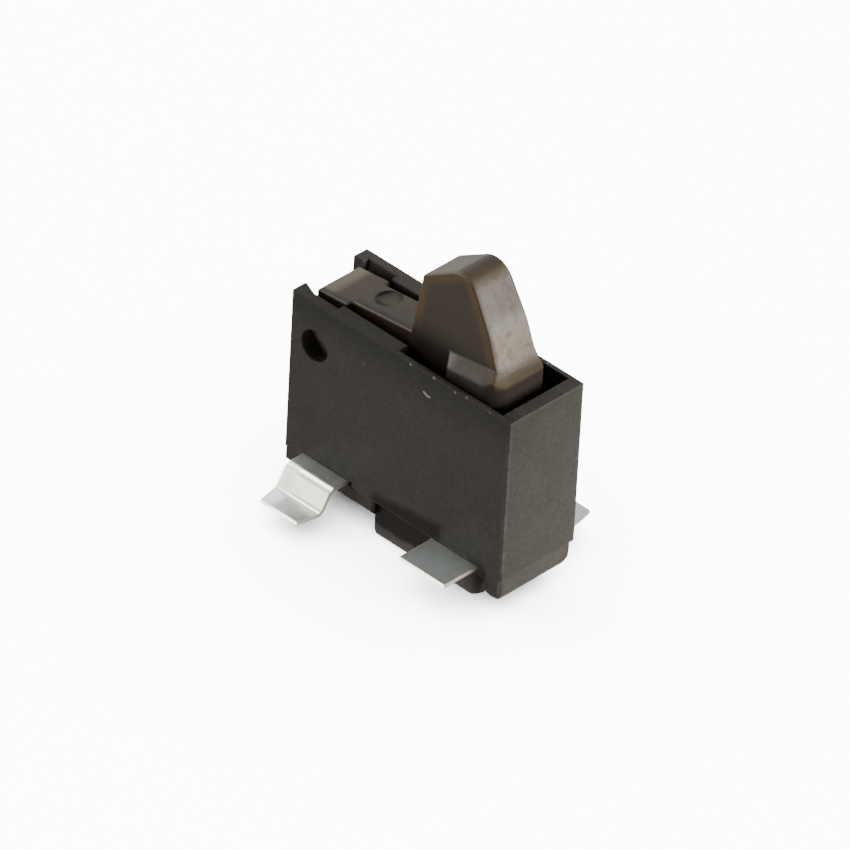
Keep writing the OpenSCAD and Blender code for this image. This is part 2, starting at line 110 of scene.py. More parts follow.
def length(name, description, millimetres):
    """A length property with its default in millimetres."""
    return FloatProperty(name=name, description=description, default=millimetres * MM,
                         min=0.0, precision=5, unit="LENGTH")


def angle(name, description, degrees):
    """An angle property with its default in degrees."""
    return FloatProperty(name=name, description=description, default=math.radians(degrees),
                         subtype="ANGLE")


def colour(name, description, red, green, blue):
    """A colour property."""
    return FloatVectorProperty(name=name, description=description, default=(red, green, blue),
                               min=0.0, max=1.0, size=3, subtype="COLOR")


def strength(name, description, default):
    """A property for how bright a light or a surface is."""
    return FloatProperty(name=name, description=description, default=default)


class Millimetres:
    """The lengths of a property group, read in millimetres."""

    def __init__(self, group):
        self.group = group

    def __getattr__(self, name):
        return getattr(self.group, name) / MM


class CaseSettings(bpy.types.PropertyGroup):
    """Sizes of the open-topped case."""
    ear_wall: length("Ear Wall", "Thickness of the side walls round the pivot", 0.4)
    thin_wall: length("Thin Wall", "Thickness of the side walls beside the cam", 0.14)
    thin_from: length("Thin From", "Distance from the pivot end where the walls turn thin", 3.1)
    end_wall: length("End Wall", "Thickness of the wall at the free end", 0.35)
    heel_wall: length("Heel Wall", "Thickness of the wall at the pivot end", 0.22)
    lip_length: length("Lip", "Length of the lip under the lever's tail", 0.5)
    lip_height: length("Lip Height", "Height of the lip above the pivot axis", 0.5)
    hole_radius: length("Pivot Hole", "Radius of the pivot holes", 0.38)
    hub_room: length("Hub Room", "Radius of the room for the lever's hub", 0.52)
    groove_width: length("Groove", "Width of the lead-in groove over each hole", 0.86)
    groove_depth: length("Groove Depth", "Depth of the lead-in grooves at the rim", 0.16)
    groove_run: length("Groove Run", "Length over which the near groove gains its depth", 0.5)
    groove_floor: length("Groove Floor", "Height of a groove's lower end above the pivot", 0.4)
    notch_from: length("Notch From", "Distance of the lead's notch from the pivot end", 0.55)
    notch_length: length("Notch", "Length of the notch over the common lead", 1.48)
    notch_height: length("Notch Height", "Height of the notch over the common lead", 0.12)
    ear_chamfer: length("Ear Chamfer", "Chamfer on the top corner of each ear", 0.04)
    edge: length("Edge", "Radius of the moulded edges", 0.035)


class LeverSettings(bpy.types.PropertyGroup):
    """Sizes of the sprung lever, measured from its pivot axis."""
    arm_width: length("Arm Width", "Width of the arm at the hub", 1.28)
    waist_width: length("Waist Width", "Width of the arm between hub and cam", 0.97)
    waist_from: length("Waist From", "Distance at which the arm narrows", 0.47)
    tail: length("Tail", "Distance that the arm runs behind the pivot", 0.46)
    tail_under: length("Tail Under", "Height of the tail's underside", 0.52)
    tail_height: length("Tail Height", "Height of the arm's top at the tail", 1.03)
    cam_from: length("Cam From", "Distance of the foot of the cam", 2.29)
    cam_foot: length("Cam Foot", "Height of the arm's top at the cam", 1.31)
    cam_corner: length("Cam Corner", "Height of the cam's near corner", 2.97)
    cam_lean: length("Cam Lean", "Forward lean of the cam's rear face", 0.22)
    peak_radius: length("Peak Radius", "Radius of the cam's peak", 0.535)
    knee_height: length("Knee Height", "Height where the working face steepens", 2.44)
    knee_radius: length("Knee Radius", "Radius that blends the working face", 1.5)
    cam_width: length("Cam Width", "Width of the cam at its foot", 1.22)
    cam_top_width: length("Cam Top Width", "Width of the cam at its near corner", 1.12)
    slope_end_in: length("Slope End", "Distance of the slope's end behind the nose", 0.257)
    slope_end: length("Slope End Height", "Height at which the working face ends", 1.64)
    slope_blend: length("Slope Blend", "Radius that blends the working face into the toe", 0.78)
    toe_height: length("Toe Height", "Height of the toe over the free end", 1.45)
    toe_radius: length("Toe Radius", "Radius of the toe over the free end", 0.16)
    nose_radius: length("Nose Radius", "Radius of the free end in plan", 0.45)
    end_gap: length("End Gap", "Gap between the free end and the case", 0.33)
    ledge_length: length("Ledge", "Length of the side ledge", 1.65)
    ledge_height: length("Ledge Height", "Height of the side ledge at the cam", 1.56)
    ledge_thick: length("Ledge Thickness", "Thickness of the side ledge", 0.8)
    ledge_slant: length("Ledge Slant", "Slant of the ledge's rear end", 0.22)
    ledge_gap: length("Ledge Gap", "Clearance between ledge and case", 0.06)
    foot_depth: length("Foot", "Depth of the lever's foot below the pivot", 0.29)
    hub_radius: length("Hub Radius", "Radius of the hub round the pivot", 0.46)
    trunnion_radius: length("Trunnion Radius", "Radius of the trunnions", 0.34)
    trunnion_in: length("Trunnion In", "Distance that a trunnion stops short of the side", 0.05)
    trunnion_bevel: length("Trunnion Bevel", "Bevel that lets the trunnions ride in", 0.3)
    trunnion_land: length("Trunnion Land", "Height at which that bevel starts", 0.24)
    dimple_radius: length("Dimple Radius", "Radius of the round recess", 0.31)
    dimple_depth: length("Dimple Depth", "Depth of the round recess", 0.19)
    dimple_at: length("Dimple Place", "Distance of the round recess", 0.94)
    dimple_side: length("Dimple Side", "Sideways offset of the round recess", 0.12)
    edge: length("Edge", "Radius of the moulded edges", 0.055)
    cam_rise: angle("Cam Rise", "Slope of the cam's top", 31)
    cam_slope: angle("Cam Slope", "Steepness of the upper working face", 60)
    cam_low_slope: angle("Cam Low Slope", "Steepness of the lower working face", 70)
    ledge_slope: angle("Ledge Slope", "Outward slope of the ledge's top", 36)
    bevel_turn: angle("Bevel Turn", "Turn of the trunnions' bevel", 37)


class BaseSettings(bpy.types.PropertyGroup):
    """Sizes of the base under the case."""
    edge: length("Edge", "Radius of the moulded edges", 0.025)
    corner: length("Corner", "Chamfer on the corners of the end foot", 0.09)


class TerminalSettings(bpy.types.PropertyGroup):
    """Sizes of the stamped terminals."""
    sheet: length("Sheet", "Thickness of the terminal sheet", 0.1)
    lead_width: length("Lead Width", "Width of a solder lead", 1.35)
    toe_width: length("Toe Width", "Width of a solder lead at its toe", 1.1)
    common_in: length("Common In", "Distance of the common lead from its end", 0.56)
    switch_in: length("Switch In", "Distance of the switching lead from its end", 0.72)
    lead_reach: length("Lead Reach", "How far a solder lead stands out", 1.38)
    tab_reach: length("Tab Reach", "How far a flat tab stands out", 0.97)
    lead_run: length("Lead Run", "Flat stretch before a lead slopes down", 0.48)
    slope_run: length("Slope Run", "Length that the sloping stretch covers", 0.28)
    foot_drop: length("Foot Drop", "Drop of a solder foot below the deck", 0.48)
    bend: length("Bend", "Radius of the bends", 0.2)
    blade_height: length("Blade Height", "Height of the standing blades", 2.15)
    blade_width: length("Blade Width", "Width of the standing blades", 0.85)
    blade_back: length("Blade Back", "Distance of the blades behind the step in the walls", 0.1)
    blade_gap: length("Blade Gap", "Gap between a blade and the side wall", 0.07)
    link_in: length("Link In", "Distance of a link from the middle plane", 0.3)
    edge: length("Edge", "Radius of the cut edges", 0.014)


class ClipSettings(bpy.types.PropertyGroup):
    """Sizes of the contact clip and the return spring."""
    sheet: length("Sheet", "Thickness of the clip's sheet", 0.08)
    clip_length: length("Clip Length", "Length of the clip along the lever", 0.4)
    clip_at: length("Clip Place", "Distance of the clip from the pivot", 3.09)
    keel_depth: length("Keel Depth", "Depth of the keel that carries the clip", 0.72)
    keel_width: length("Keel Width", "Width of the keel", 0.66)
    keel_edge: length("Keel Edge", "Amount that the keel stands out round the clip", 0.06)
    play: length("Play", "Gap between the keel and the clip", 0.01)
    foot: length("Foot", "Height of the clip's straight feet", 0.16)
    nose: length("Nose", "Height at which the clip's fingers are widest", 0.42)
    nose_gap: length("Nose Gap", "Gap between the clip's fingers and the blades", 0.02)
    height: length("Height", "Height of the clip's fingers", 0.62)
    tip_in: length("Tip In", "Amount by which the tip of each finger turns in", 0.1)
    spring_at: length("Spring Place", "Distance of the spring from the pivot", 1.62)
    coil_radius: length("Coil Radius", "Mean radius of the return spring", 0.42)
    wire: length("Wire", "Diameter of the spring's wire", 0.1)
    post_radius: length("Post Radius", "Radius of the lever's post in the spring", 0.32)
    post_length: length("Post Length", "Length of the lever's post", 0.12)
    turns: IntProperty(name="Turns", description="Turns in the return spring", default=7, min=3)


class FinishSettings(bpy.types.PropertyGroup):
    """Colours of the finishes."""
    case_black: colour("Case", "Black of the case", 0.048, 0.043, 0.036)
    dust_and_sheen: colour("Dust", "Grey of the worn rim", 0.12, 0.118, 0.1)
    scuff: colour("Scuff", "Pale nicks in the case", 0.5, 0.5, 0.48)
    near_side_shade: colour("Near Shade", "Colour of the residue on the near side", 0.010, 0.006, 0.004)
    base_black: colour("Base", "Black of the base", 0.046, 0.041, 0.034)
    lever_brown: colour("Lever", "Brown of the lever", 0.1, 0.075, 0.045)
    lever_dark: colour("Lever Dark", "Dark spots and crest of the lever", 0.05, 0.033, 0.02)
    lever_shade: colour("Lever Deep", "Dark brown of the lever inside the case",
                       0.014, 0.008, 0.005)
    lever_dust_and_sheen: colour("Lever Dust", "Pale bloom on the lever", 0.2, 0.178, 0.137)
    edge_amber: colour("Lever Edge", "Amber that shines through thin edges", 0.08, 0.049, 0.019)
    tin: colour("Tin", "Tin plating of the terminals", 0.56, 0.60, 0.57)
    slope_reflection: colour("Cream", "Warmer tin on the slopes of the leads", 0.72, 0.73, 0.62)
    scratch: colour("Scratch", "Bright scratches in the plating", 0.9, 0.9, 0.88)
    cut_edge: colour("Cut Side", "Cut long edges of the sheet", 0.72, 0.62, 0.47)
    cut_front_and_glint: colour("Cut Front", "Cut ends of the leads and tabs", 0.9, 0.86, 0.74)
    spring_metal: colour("Spring", "Drawn wire of the spring", 0.55, 0.55, 0.55)
    clip_metal: colour("Clip", "Sheet of the contact clip", 0.75, 0.6, 0.3)


class StageSettings(bpy.types.PropertyGroup):
    """Camera and light."""
    azimuth: angle("Azimuth", "Direction of the camera round the object", 42.9016)
    elevation: angle("Elevation", "Height of the camera above the horizon", 36.5548)
    roll: angle("Roll", "Turn of the camera about its own axis", 3.2147)
    distance: length("Distance", "Distance of the camera from its target", 268.328)
    target: FloatVectorProperty(name="Target", description="Point that the camera looks at",
                                default=(0.00018517, -0.00043718, 0.00309807), size=3,
                                subtype="XYZ", unit="LENGTH", precision=6)
    focal_length: FloatProperty(name="Focal Length", description="Lens of the camera",
                                default=536.168, unit="CAMERA")
    key: strength("Key", "Brightness of the light from the free end", 17.0)
    overhead: strength("Overhead", "Brightness of the light from above", 0.8)
    left: strength("Left", "Brightness of the wall of light on the left", 2.4)
    card: strength("Card", "Brightness of the low card in front", 4.8)
    bends: strength("Bends", "Brightness of the light along the bends", 20.0)
    feet: strength("Feet", "Brightness of the light on the lifted feet", 4.2)
    under: strength("Under", "Brightness from below on the cut edges", 6.0)
    room: strength("Room", "Brightness of the room above the horizon", 0.22)
    bounce: strength("Bounce", "Brightness that the floor sends up", 0.75)
    floor_light: strength("Floor Light", "Brightness of the floor itself", 13.0)


# ---- Modelling helpers, in millimetres ----

def clear_selection():
    """Leaves edit mode and deselects everything."""
    if bpy.context.object and bpy.context.object.mode != "OBJECT":
        bpy.ops.object.mode_set(mode="OBJECT")
    bpy.ops.object.select_all(action="DESELECT")


def choose(piece):
    """Selects one piece and makes it active."""
    clear_selection()
    piece.select_set(True)
    bpy.context.view_layer.objects.active = piece


def edit(piece, mode, action="DESELECT"):
    """Opens a piece in edit mode with nothing of it selected, or with all of it."""
    choose(piece)
    bpy.ops.object.mode_set(mode="EDIT")
    bpy.ops.mesh.select_mode(type=mode)
    bpy.ops.mesh.select_all(action=action)


def pick(piece, kind, rule):
    """In edit mode, selects only the verts, edges or faces that satisfy a rule; says how many."""
    mesh = bmesh.from_edit_mesh(piece.data)
    bpy.ops.mesh.select_all(action="DESELECT")
    chosen = [item for item in getattr(mesh, kind) if rule(item)]
    for item in chosen:
        item.select_set(True)
    bmesh.update_edit_mesh(piece.data)
    return len(chosen)


def place_of_new(name):
    """Names the primitive just added and keeps its place in its mesh."""
    piece = bpy.context.object
    piece.name = name
    bpy.ops.object.transform_apply(location=True, rotation=True, scale=True)
    return piece


def block(name, low, high):
    """A box between two corners."""
    low, high = Vector(low), Vector(high)
    clear_selection()
    bpy.ops.mesh.primitive_cube_add(size=1, location=(low + high) / 2, scale=high - low)
    return place_of_new(name)


def rod(name, centre, radius, depth, axis="Y", vertices=96):
    """A closed cylinder about a centre, along one axis."""
    turns = {"X": (0, math.pi / 2, 0), "Y": (math.pi / 2, 0, 0), "Z": (0, 0, 0)}
    clear_selection()
    bpy.ops.mesh.primitive_cylinder_add(vertices=vertices, radius=radius, depth=depth,
                                        location=centre, rotation=turns[axis])
    return place_of_new(name)


def prism(name, corners, plane, start, end, segments=8):
    """A solid with a flat outline, from start to end along the plane's third axis.

    Each corner is (a, b) or (a, b, radius); a corner with a radius is rounded in the plane."""
    spread = {"XZ": lambda a, b: Vector((a, start, b)), "YZ": lambda a, b: Vector((start, a, b)),
              "XY": lambda a, b: Vector((a, b, start))}[plane]
    along = {"XZ": Vector((0, 1, 0)), "YZ": Vector((1, 0, 0)), "XY": Vector((0, 0, 1))}[plane]
    clear_selection()
    bpy.ops.mesh.primitive_circle_add(vertices=len(corners), fill_type="NGON")
    piece = place_of_new(name)
    points = [spread(*corner[:2]) for corner in corners]
    for vertex, point in zip(piece.data.vertices, points):
        vertex.co = point
    edit(piece, "VERT")
    for index, corner in enumerate(corners):
        if len(corner) == 3 and corner[2] > 0:
            here = points[index]
            back = points[index - 1] - here
            on = points[(index + 1) % len(points)] - here
            pick(piece, "verts", lambda v: (v.co - here).length < 1e-4)
            bpy.ops.mesh.bevel(offset=corner[2] / math.tan(back.angle(on) / 2),
                               segments=segments, affect="VERTICES", clamp_overlap=False)
    bpy.ops.mesh.select_all(action="SELECT")
    bpy.ops.mesh.extrude_region_move(TRANSFORM_OT_translate={"value": along * (end - start)})
    bpy.ops.mesh.select_all(action="SELECT")
    bpy.ops.mesh.normals_make_consistent(inside=False)
    clear_selection()
    return piece


def turn_and_move(piece, turn_y, shift):
    """Turns a piece about the Y axis and then moves it, in its mesh."""
    piece.rotation_euler = (0, turn_y, 0)
    piece.location = shift
    choose(piece)
    bpy.ops.object.transform_apply(location=True, rotation=True, scale=True)
    return piece


def put_in_order(piece):
    """Numbers a mesh by distance from a far point, so that every run goes on alike."""
    cursor = bpy.context.scene.cursor
    cursor.location = SORTING_PLACE
    edit(piece, "VERT", "SELECT")
    bpy.ops.mesh.sort_elements(type="CURSOR_DISTANCE", elements={"VERT", "EDGE", "FACE"})
    clear_selection()
    cursor.location = (0, 0, 0)     # where the next primitives go


def carve(piece, operation, *others):
    """Joins, cuts or intersects a piece with other solids, which are used up."""
    for other in others:
        choose(piece)
        step = piece.modifiers.new("Boolean", "BOOLEAN")
        step.operation = operation
        step.solver = "EXACT"
        step.object = other
        bpy.ops.object.modifier_apply(modifier=step.name)
        bpy.data.objects.remove(other, do_unlink=True)
        if not piece.data.polygons:
            raise RuntimeError(f"nothing is left of {piece.name}")
        put_in_order(piece)
    return piece


def cut(piece, *others):
    """Cuts solids out of a piece."""
    return carve(piece, "DIFFERENCE", *others)


def fuse(piece, *others):
    """Fuses solids to a piece."""
    return carve(piece, "UNION", *others)


def slice_off(piece, point, outward):
    """Cuts a piece off flat at a plane and closes it."""
    edit(piece, "FACE", "SELECT")
    bpy.ops.mesh.bisect(plane_co=point, plane_no=outward, use_fill=True, clear_outer=True,
                        threshold=1e-5)
    clear_selection()


def merge_corners(piece):
    """Merges doubled corners."""
    edit(piece, "VERT", "SELECT")
    bpy.ops.mesh.remove_doubles(threshold=MERGE_DISTANCE)
    clear_selection()


def clean_faces(piece):
    """Merges doubled corners and turns split flat faces, which have no hole, into single ones."""
    merge_corners(piece)
    edit(piece, "VERT", "SELECT")
    bpy.ops.mesh.dissolve_limited(angle_limit=FLAT_ANGLE)
    clear_selection()


def sharp(edge, least=25):
    """Tells whether two faces meet at an edge at more than so many degrees."""
    return len(edge.link_faces) == 2 and edge.calc_face_angle(0) > math.radians(least)


def round_edges(piece, radius, rule=sharp, segments=3):
    """Rounds the edges that satisfy a rule."""
    edit(piece, "EDGE")
    if not pick(piece, "edges", rule):
        raise RuntimeError(f"{piece.name} has no edge to round")
    bpy.ops.mesh.bevel(offset=radius, offset_type="OFFSET", segments=segments, affect="EDGES",
                       clamp_overlap=False, loop_slide=True)
    clear_selection()


def strip(line, thick):
    """Corners of a bent strip of sheet about a centre line of (a, b, radius)."""
    points = [Vector(corner[:2]) for corner in line]
    runs = [(b - a).normalized() for a, b in zip(points, points[1:])]
    upper, lower = [], []
    for index, corner in enumerate(line):
        before, after = runs[max(index - 1, 0)], runs[min(index, len(runs) - 1)]
        middle = (before + after).normalized()
        side = Vector((-middle.y, middle.x)) * thick / 2 / middle.dot(before)
        bend = math.copysign(thick / 2, before.x * after.y - before.y * after.x)
        radius = corner[2] if len(corner) == 3 else 0
        upper.append((*(points[index] + side), max(radius - bend, 0) if radius else 0))
        lower.append((*(points[index] - side), max(radius + bend, 0) if radius else 0))
    return upper + lower[::-1]


def finish_piece(piece, body, slot, material, *nodes):
    """Smooths a piece, brings it to metres and ties it to the frame."""
    choose(piece)
    piece.data.name = piece.name
    piece.data.materials.clear()
    piece.data.materials.append(material)
    bpy.ops.object.shade_smooth_by_angle(angle=SMOOTH_ANGLE)
    weighted = piece.modifiers.new("Weighted Normal", "WEIGHTED_NORMAL")
    weighted.keep_sharp = True
    bpy.ops.object.modifier_apply(modifier=weighted.name)
    piece.scale = (MM, MM, MM)
    bpy.ops.object.transform_apply(location=True, rotation=True, scale=True)
    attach(piece, body)
    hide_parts(*nodes)
    return piece


def cam_line(size, turns, reach):
    """Distances of the cam's rear corner, of the knee and of the end of the working face."""
    end_x = reach - size.slope_end_in
    knee_x = end_x - (size.knee_height - size.slope_end) / math.tan(turns.cam_low_slope)
    return size.cam_from + size.cam_lean, knee_x, end_x


def arm_tilt(size):
    """Angle at which the arm's top rises towards the cam."""
    return math.atan((size.cam_foot - size.tail_height) / (size.cam_from + size.tail))


# ---- Shader helpers ----

class Value:
    """A shader socket that takes part in arithmetic by adding Math nodes."""

    def __init__(self, finish, socket):
        self.finish = finish
        self.socket = socket

    def maths(self, operation, *values):
        return self.finish.node("ShaderNodeMath", {"operation": operation},
                                dict(enumerate(values)))

    def __add__(self, other):
        return self.maths("ADD", self, other)

    def __sub__(self, other):
        return self.maths("SUBTRACT", self, other)

    def __rsub__(self, other):
        return self.maths("SUBTRACT", other, self)

    def __mul__(self, other):
        return self.maths("MULTIPLY", self, other)

    def __truediv__(self, other):
        return self.maths("DIVIDE", self, other)

    def __abs__(self):
        return self.maths("ABSOLUTE", self)

    __radd__ = __add__
    __rmul__ = __mul__

    def least(self, other):
        return self.maths("MINIMUM", self, other)

    def most(self, other):
        return self.maths("MAXIMUM", self, other)

    def root(self):
        return self.maths("SQRT", self)

    def fade(self, start, end, low=0.0, high=1.0):
        """Smoothly from low at start to high at end."""
        return self.finish.node(
            "ShaderNodeMapRange", {"interpolation_type": "SMOOTHSTEP"},
            {"Value": self, "From Min": start, "From Max": end, "To Min": low, "To Max": high})


class Finish:
    """A procedural material under construction."""

    def __init__(self, name, **constants):
        self.material = bpy.data.materials.new(name)
        self.material.use_nodes = True
        self.tree = self.material.node_tree
        self.shader = self.tree.nodes["Principled BSDF"]
        for socket, value in constants.items():
            self.shader.inputs[socket.replace("_", " ")].default_value = value
        place = self.node("ShaderNodeTexCoord", output="Object")
        self.place = self.node("ShaderNodeVectorMath", {"operation": "SCALE"},
                               {0: place, "Scale": 1 / MM})
        self.x, self.y, self.z = self.split(self.place)

    def node(self, kind, settings=None, values=None, output=0):
        """Adds a node: its settings first, then the values or links of its sockets."""
        node = self.tree.nodes.new(kind)
        for name, value in (settings or {}).items():
            setattr(node, name, value)
        for name, value in (values or {}).items():
            if isinstance(value, Value):
                self.tree.links.new(value.socket, node.inputs[name])
            else:
                node.inputs[name].default_value = value
        return Value(self, node.outputs[output])

    def split(self, vector):
        """The three numbers of a vector."""
        node = self.tree.nodes.new("ShaderNodeSeparateXYZ")
        self.tree.links.new(vector.socket, node.inputs[0])
        return [Value(self, output) for output in node.outputs]

    def noise(self, scale, detail=2.0, roughness=0.5, stretch=(1, 1, 1)):
        """Noise with so many lumps to a millimetre, from 0 to 1."""
        place = self.node("ShaderNodeMapping", {}, {"Vector": self.place, "Scale": stretch})
        return self.node("ShaderNodeTexNoise", {"noise_dimensions": "3D"},
                         {"Vector": place, "Scale": scale, "Detail": detail,
                          "Roughness": roughness})

    def normal(self):
        """The three numbers of the surface normal in the piece's own frame."""
        facing = self.node("ShaderNodeNewGeometry", output="Normal")
        own = self.node("ShaderNodeVectorTransform",
                        {"vector_type": "NORMAL", "convert_from": "WORLD",
                         "convert_to": "OBJECT"}, {0: facing})
        return self.split(own)

    def mix(self, factor, first, second):
        """One colour into another by a factor."""
        first, second = (value if isinstance(value, Value) else (*value, 1.0)
                         for value in (first, second))
        return self.node("ShaderNodeMix", {"data_type": "RGBA"},
                         {0: factor, 6: first, 7: second}, output=2)

    def shade(self, tint, factor):
        """A colour made lighter or darker by a factor."""
        tint = tint if isinstance(tint, Value) else tuple(tint)
        return self.node("ShaderNodeVectorMath", {"operation": "SCALE"},
                         {0: tint, "Scale": factor})

    def bump(self, height, distance, strength=1.0):
        """Feeds a height, of 1 for so many millimetres, to the surface normal."""
        self.feed("Normal", self.node("ShaderNodeBump", {}, {
            "Height": height, "Distance": distance * MM, "Strength": strength}))

    def near_line(self, axes, start, end, width):
        """1 on a short scratch between two points of a plane, fading out at its width."""
        a, b = axes
        run = Vector(end) - Vector(start)
        along = ((a - start[0]) * run.x + (b - start[1]) * run.y) / run.length_squared
        along = along.most(0.0).least(1.0)
        off_a = a - start[0] - along * run.x
        off_b = b - start[1] - along * run.y
        return (off_a * off_a + off_b * off_b).root().fade(width, width * 0.3)

    def feed(self, socket, value):
        """Links a varying value to one of the shader's sockets."""
        self.tree.links.new(value.socket, self.shader.inputs[socket])


def scatter(finish, spots, radius):
    """1 on small spots at places (x, y, z), fading out at a radius."""
    total = 0.0
    for spot in spots:
        off = finish.node("ShaderNodeVectorMath", {"operation": "DISTANCE"},
                          {0: finish.place, 1: spot}, output="Value")
        total = off.fade(radius, radius * 0.4) + total
    return total


def near_side_shade(finish):
    """Painted shade on the near side, across the joint between case and base and beside the tab.
    """
    x, y, z = finish.x + 0.76, finish.y, finish.z - DECK_Z
    wobble = finish.noise(3.0, detail=2.0) * 0.16 - 0.08
    patch = x.fade(0.08, 0.22) * x.fade(2.35, 2.05) * (z + wobble).fade(-0.72, -0.6) \
        * (z - x * 0.13 + wobble).fade(0.30, 0.06)
    by_tab = x.fade(2.95, 3.1) * x.fade(3.65, 3.45) * (z + wobble).fade(0.25, 0.0)
    return patch.most(by_tab * 0.8) * y.fade(-0.5, -0.8)


def case_finish(colours):
    """Black moulding of the case: fine speckle, dusty rim, a few nicks, painted highlights and
    shade.
    """
    finish = Finish("case_plastic", IOR=1.22)
    x, y, z = finish.x, finish.y, finish.z
    nx, ny, nz = finish.normal()
    grain = finish.noise(15.0, detail=3.0, roughness=0.65)
    cloud = finish.noise(0.9, detail=3.0)
    blotch = finish.noise(2.6, detail=4.0, roughness=0.6)
    # painted shade and light: near side darker towards its top, free end's face lighter low down,
    # near rim's top darker
    shade = ny.fade(-0.3, -0.7) * z.fade(3.9, 5.3)
    tone = (cloud * 0.35 + grain * 1.1 + blotch * 0.3 + 0.12) * (0.94 - shade * 0.4)
    tone = tone * (1.0 + nx.fade(0.3, 0.7) * (z.fade(2.0, 5.0, 0.12, -0.05) + y * 0.08))
    tone = tone * (1.0 - nz.fade(0.8, 0.95) * y.fade(-0.6, -0.8) * 0.25)
    black = finish.shade(colours.case_black, tone)
    # dust and wear along the rim; painted highlight on the free end's corners, broken by wear
    wear = finish.noise(4.0, detail=4.0, roughness=0.7)
    rim = z.fade(RIM_Z - 0.10, RIM_Z - 0.01) * (wear.fade(0.3, 0.7) * 0.5 + 0.5)
    corner = ((END_X - x).most(HALF_WIDTH - abs(y))).fade(0.13, 0.02) * wear.fade(0.35, 0.7)
    top = nz.fade(0.6, 0.9) * z.fade(RIM_Z - 0.2, RIM_Z - 0.1)
    tint = finish.mix((rim * 0.1 + corner * 0.35 - top * 0.1).least(1.0), black,
                      colours.dust_and_sheen)
    # white nicks on the near side, the near rim and the far rim
    near = ny.fade(-0.3, -0.6) * y.fade(-0.9, -1.0)    # not on the inside of the far wall
    nick = finish.near_line((x, z), (0.73, 4.60), (0.84, 4.55), 0.045)
    nick = nick.most(finish.near_line((x, z), (0.84, 4.55), (0.90, 4.57), 0.04)) * near
    specks = scatter(finish, [(0.99, -HALF_WIDTH, RIM_Z - 0.03), (1.95, -HALF_WIDTH, RIM_Z),
                              (2.65, -HALF_WIDTH, RIM_Z), (-1.05, -HALF_WIDTH, 4.36),
                              (2.25, HALF_WIDTH - 0.08, RIM_Z), (0.30, -HALF_WIDTH, RIM_Z - 0.05),
                              (1.62, -HALF_WIDTH, RIM_Z - 0.06)], 0.05)
    mark = (nick * 0.6 + specks * wear.fade(0.35, 0.65) * 0.55).least(1.0)
    # painted shade on the near side, and a painted highlight along the case's lower edge over it
    dark = near_side_shade(finish)
    joint = near * dark * z.fade(DECK_Z + 0.035, DECK_Z + 0.015) * wear.fade(0.4, 0.55)
    tint = finish.mix(dark * 0.92, tint, colours.near_side_shade)
    tint = finish.mix(joint * 0.25, tint, colours.dust_and_sheen)
    finish.feed("Base Color", finish.mix(mark * 0.75, tint, colours.scuff))
    finish.feed("Roughness", grain * 0.25 + 0.32 + mark * 0.2)
    finish.bump(grain * 0.6 + blotch * 0.8 - mark * 0.8, 0.006, 0.5)
    return finish.material


def base_finish(colours):
    """Black moulding of the base, with painted shade where it is set in under the case, and
    painted light on its set-in near faces and its free end.
    """
    finish = Finish("base_plastic", IOR=1.27)
    grain = finish.noise(13.0, detail=3.0, roughness=0.6)
    tone = finish.noise(1.1, detail=3.0) * 0.4 + grain * 0.8 + 0.35
    # painted light: the near faces set in under the case and the free end's face are made lighter
    set_in = (finish.y + HALF_WIDTH).fade(0.02, 0.1) * finish.normal()[1].fade(-0.3, -0.7)
    end = finish.normal()[0].fade(0.3, 0.7) * (finish.x - END_X).fade(-0.6, -0.4)
    tone = tone * (1.0 + set_in * 0.5) * (1.0 + end * 0.32)
    # painted shade on the near side where the base is set in
    tint = finish.mix(near_side_shade(finish), finish.shade(colours.base_black, tone), colours.near_side_shade)
    finish.feed("Base Color", tint)
    finish.feed("Roughness", grain * 0.2 + 0.5)
    finish.bump(grain, 0.005, 0.5)
    return finish.material


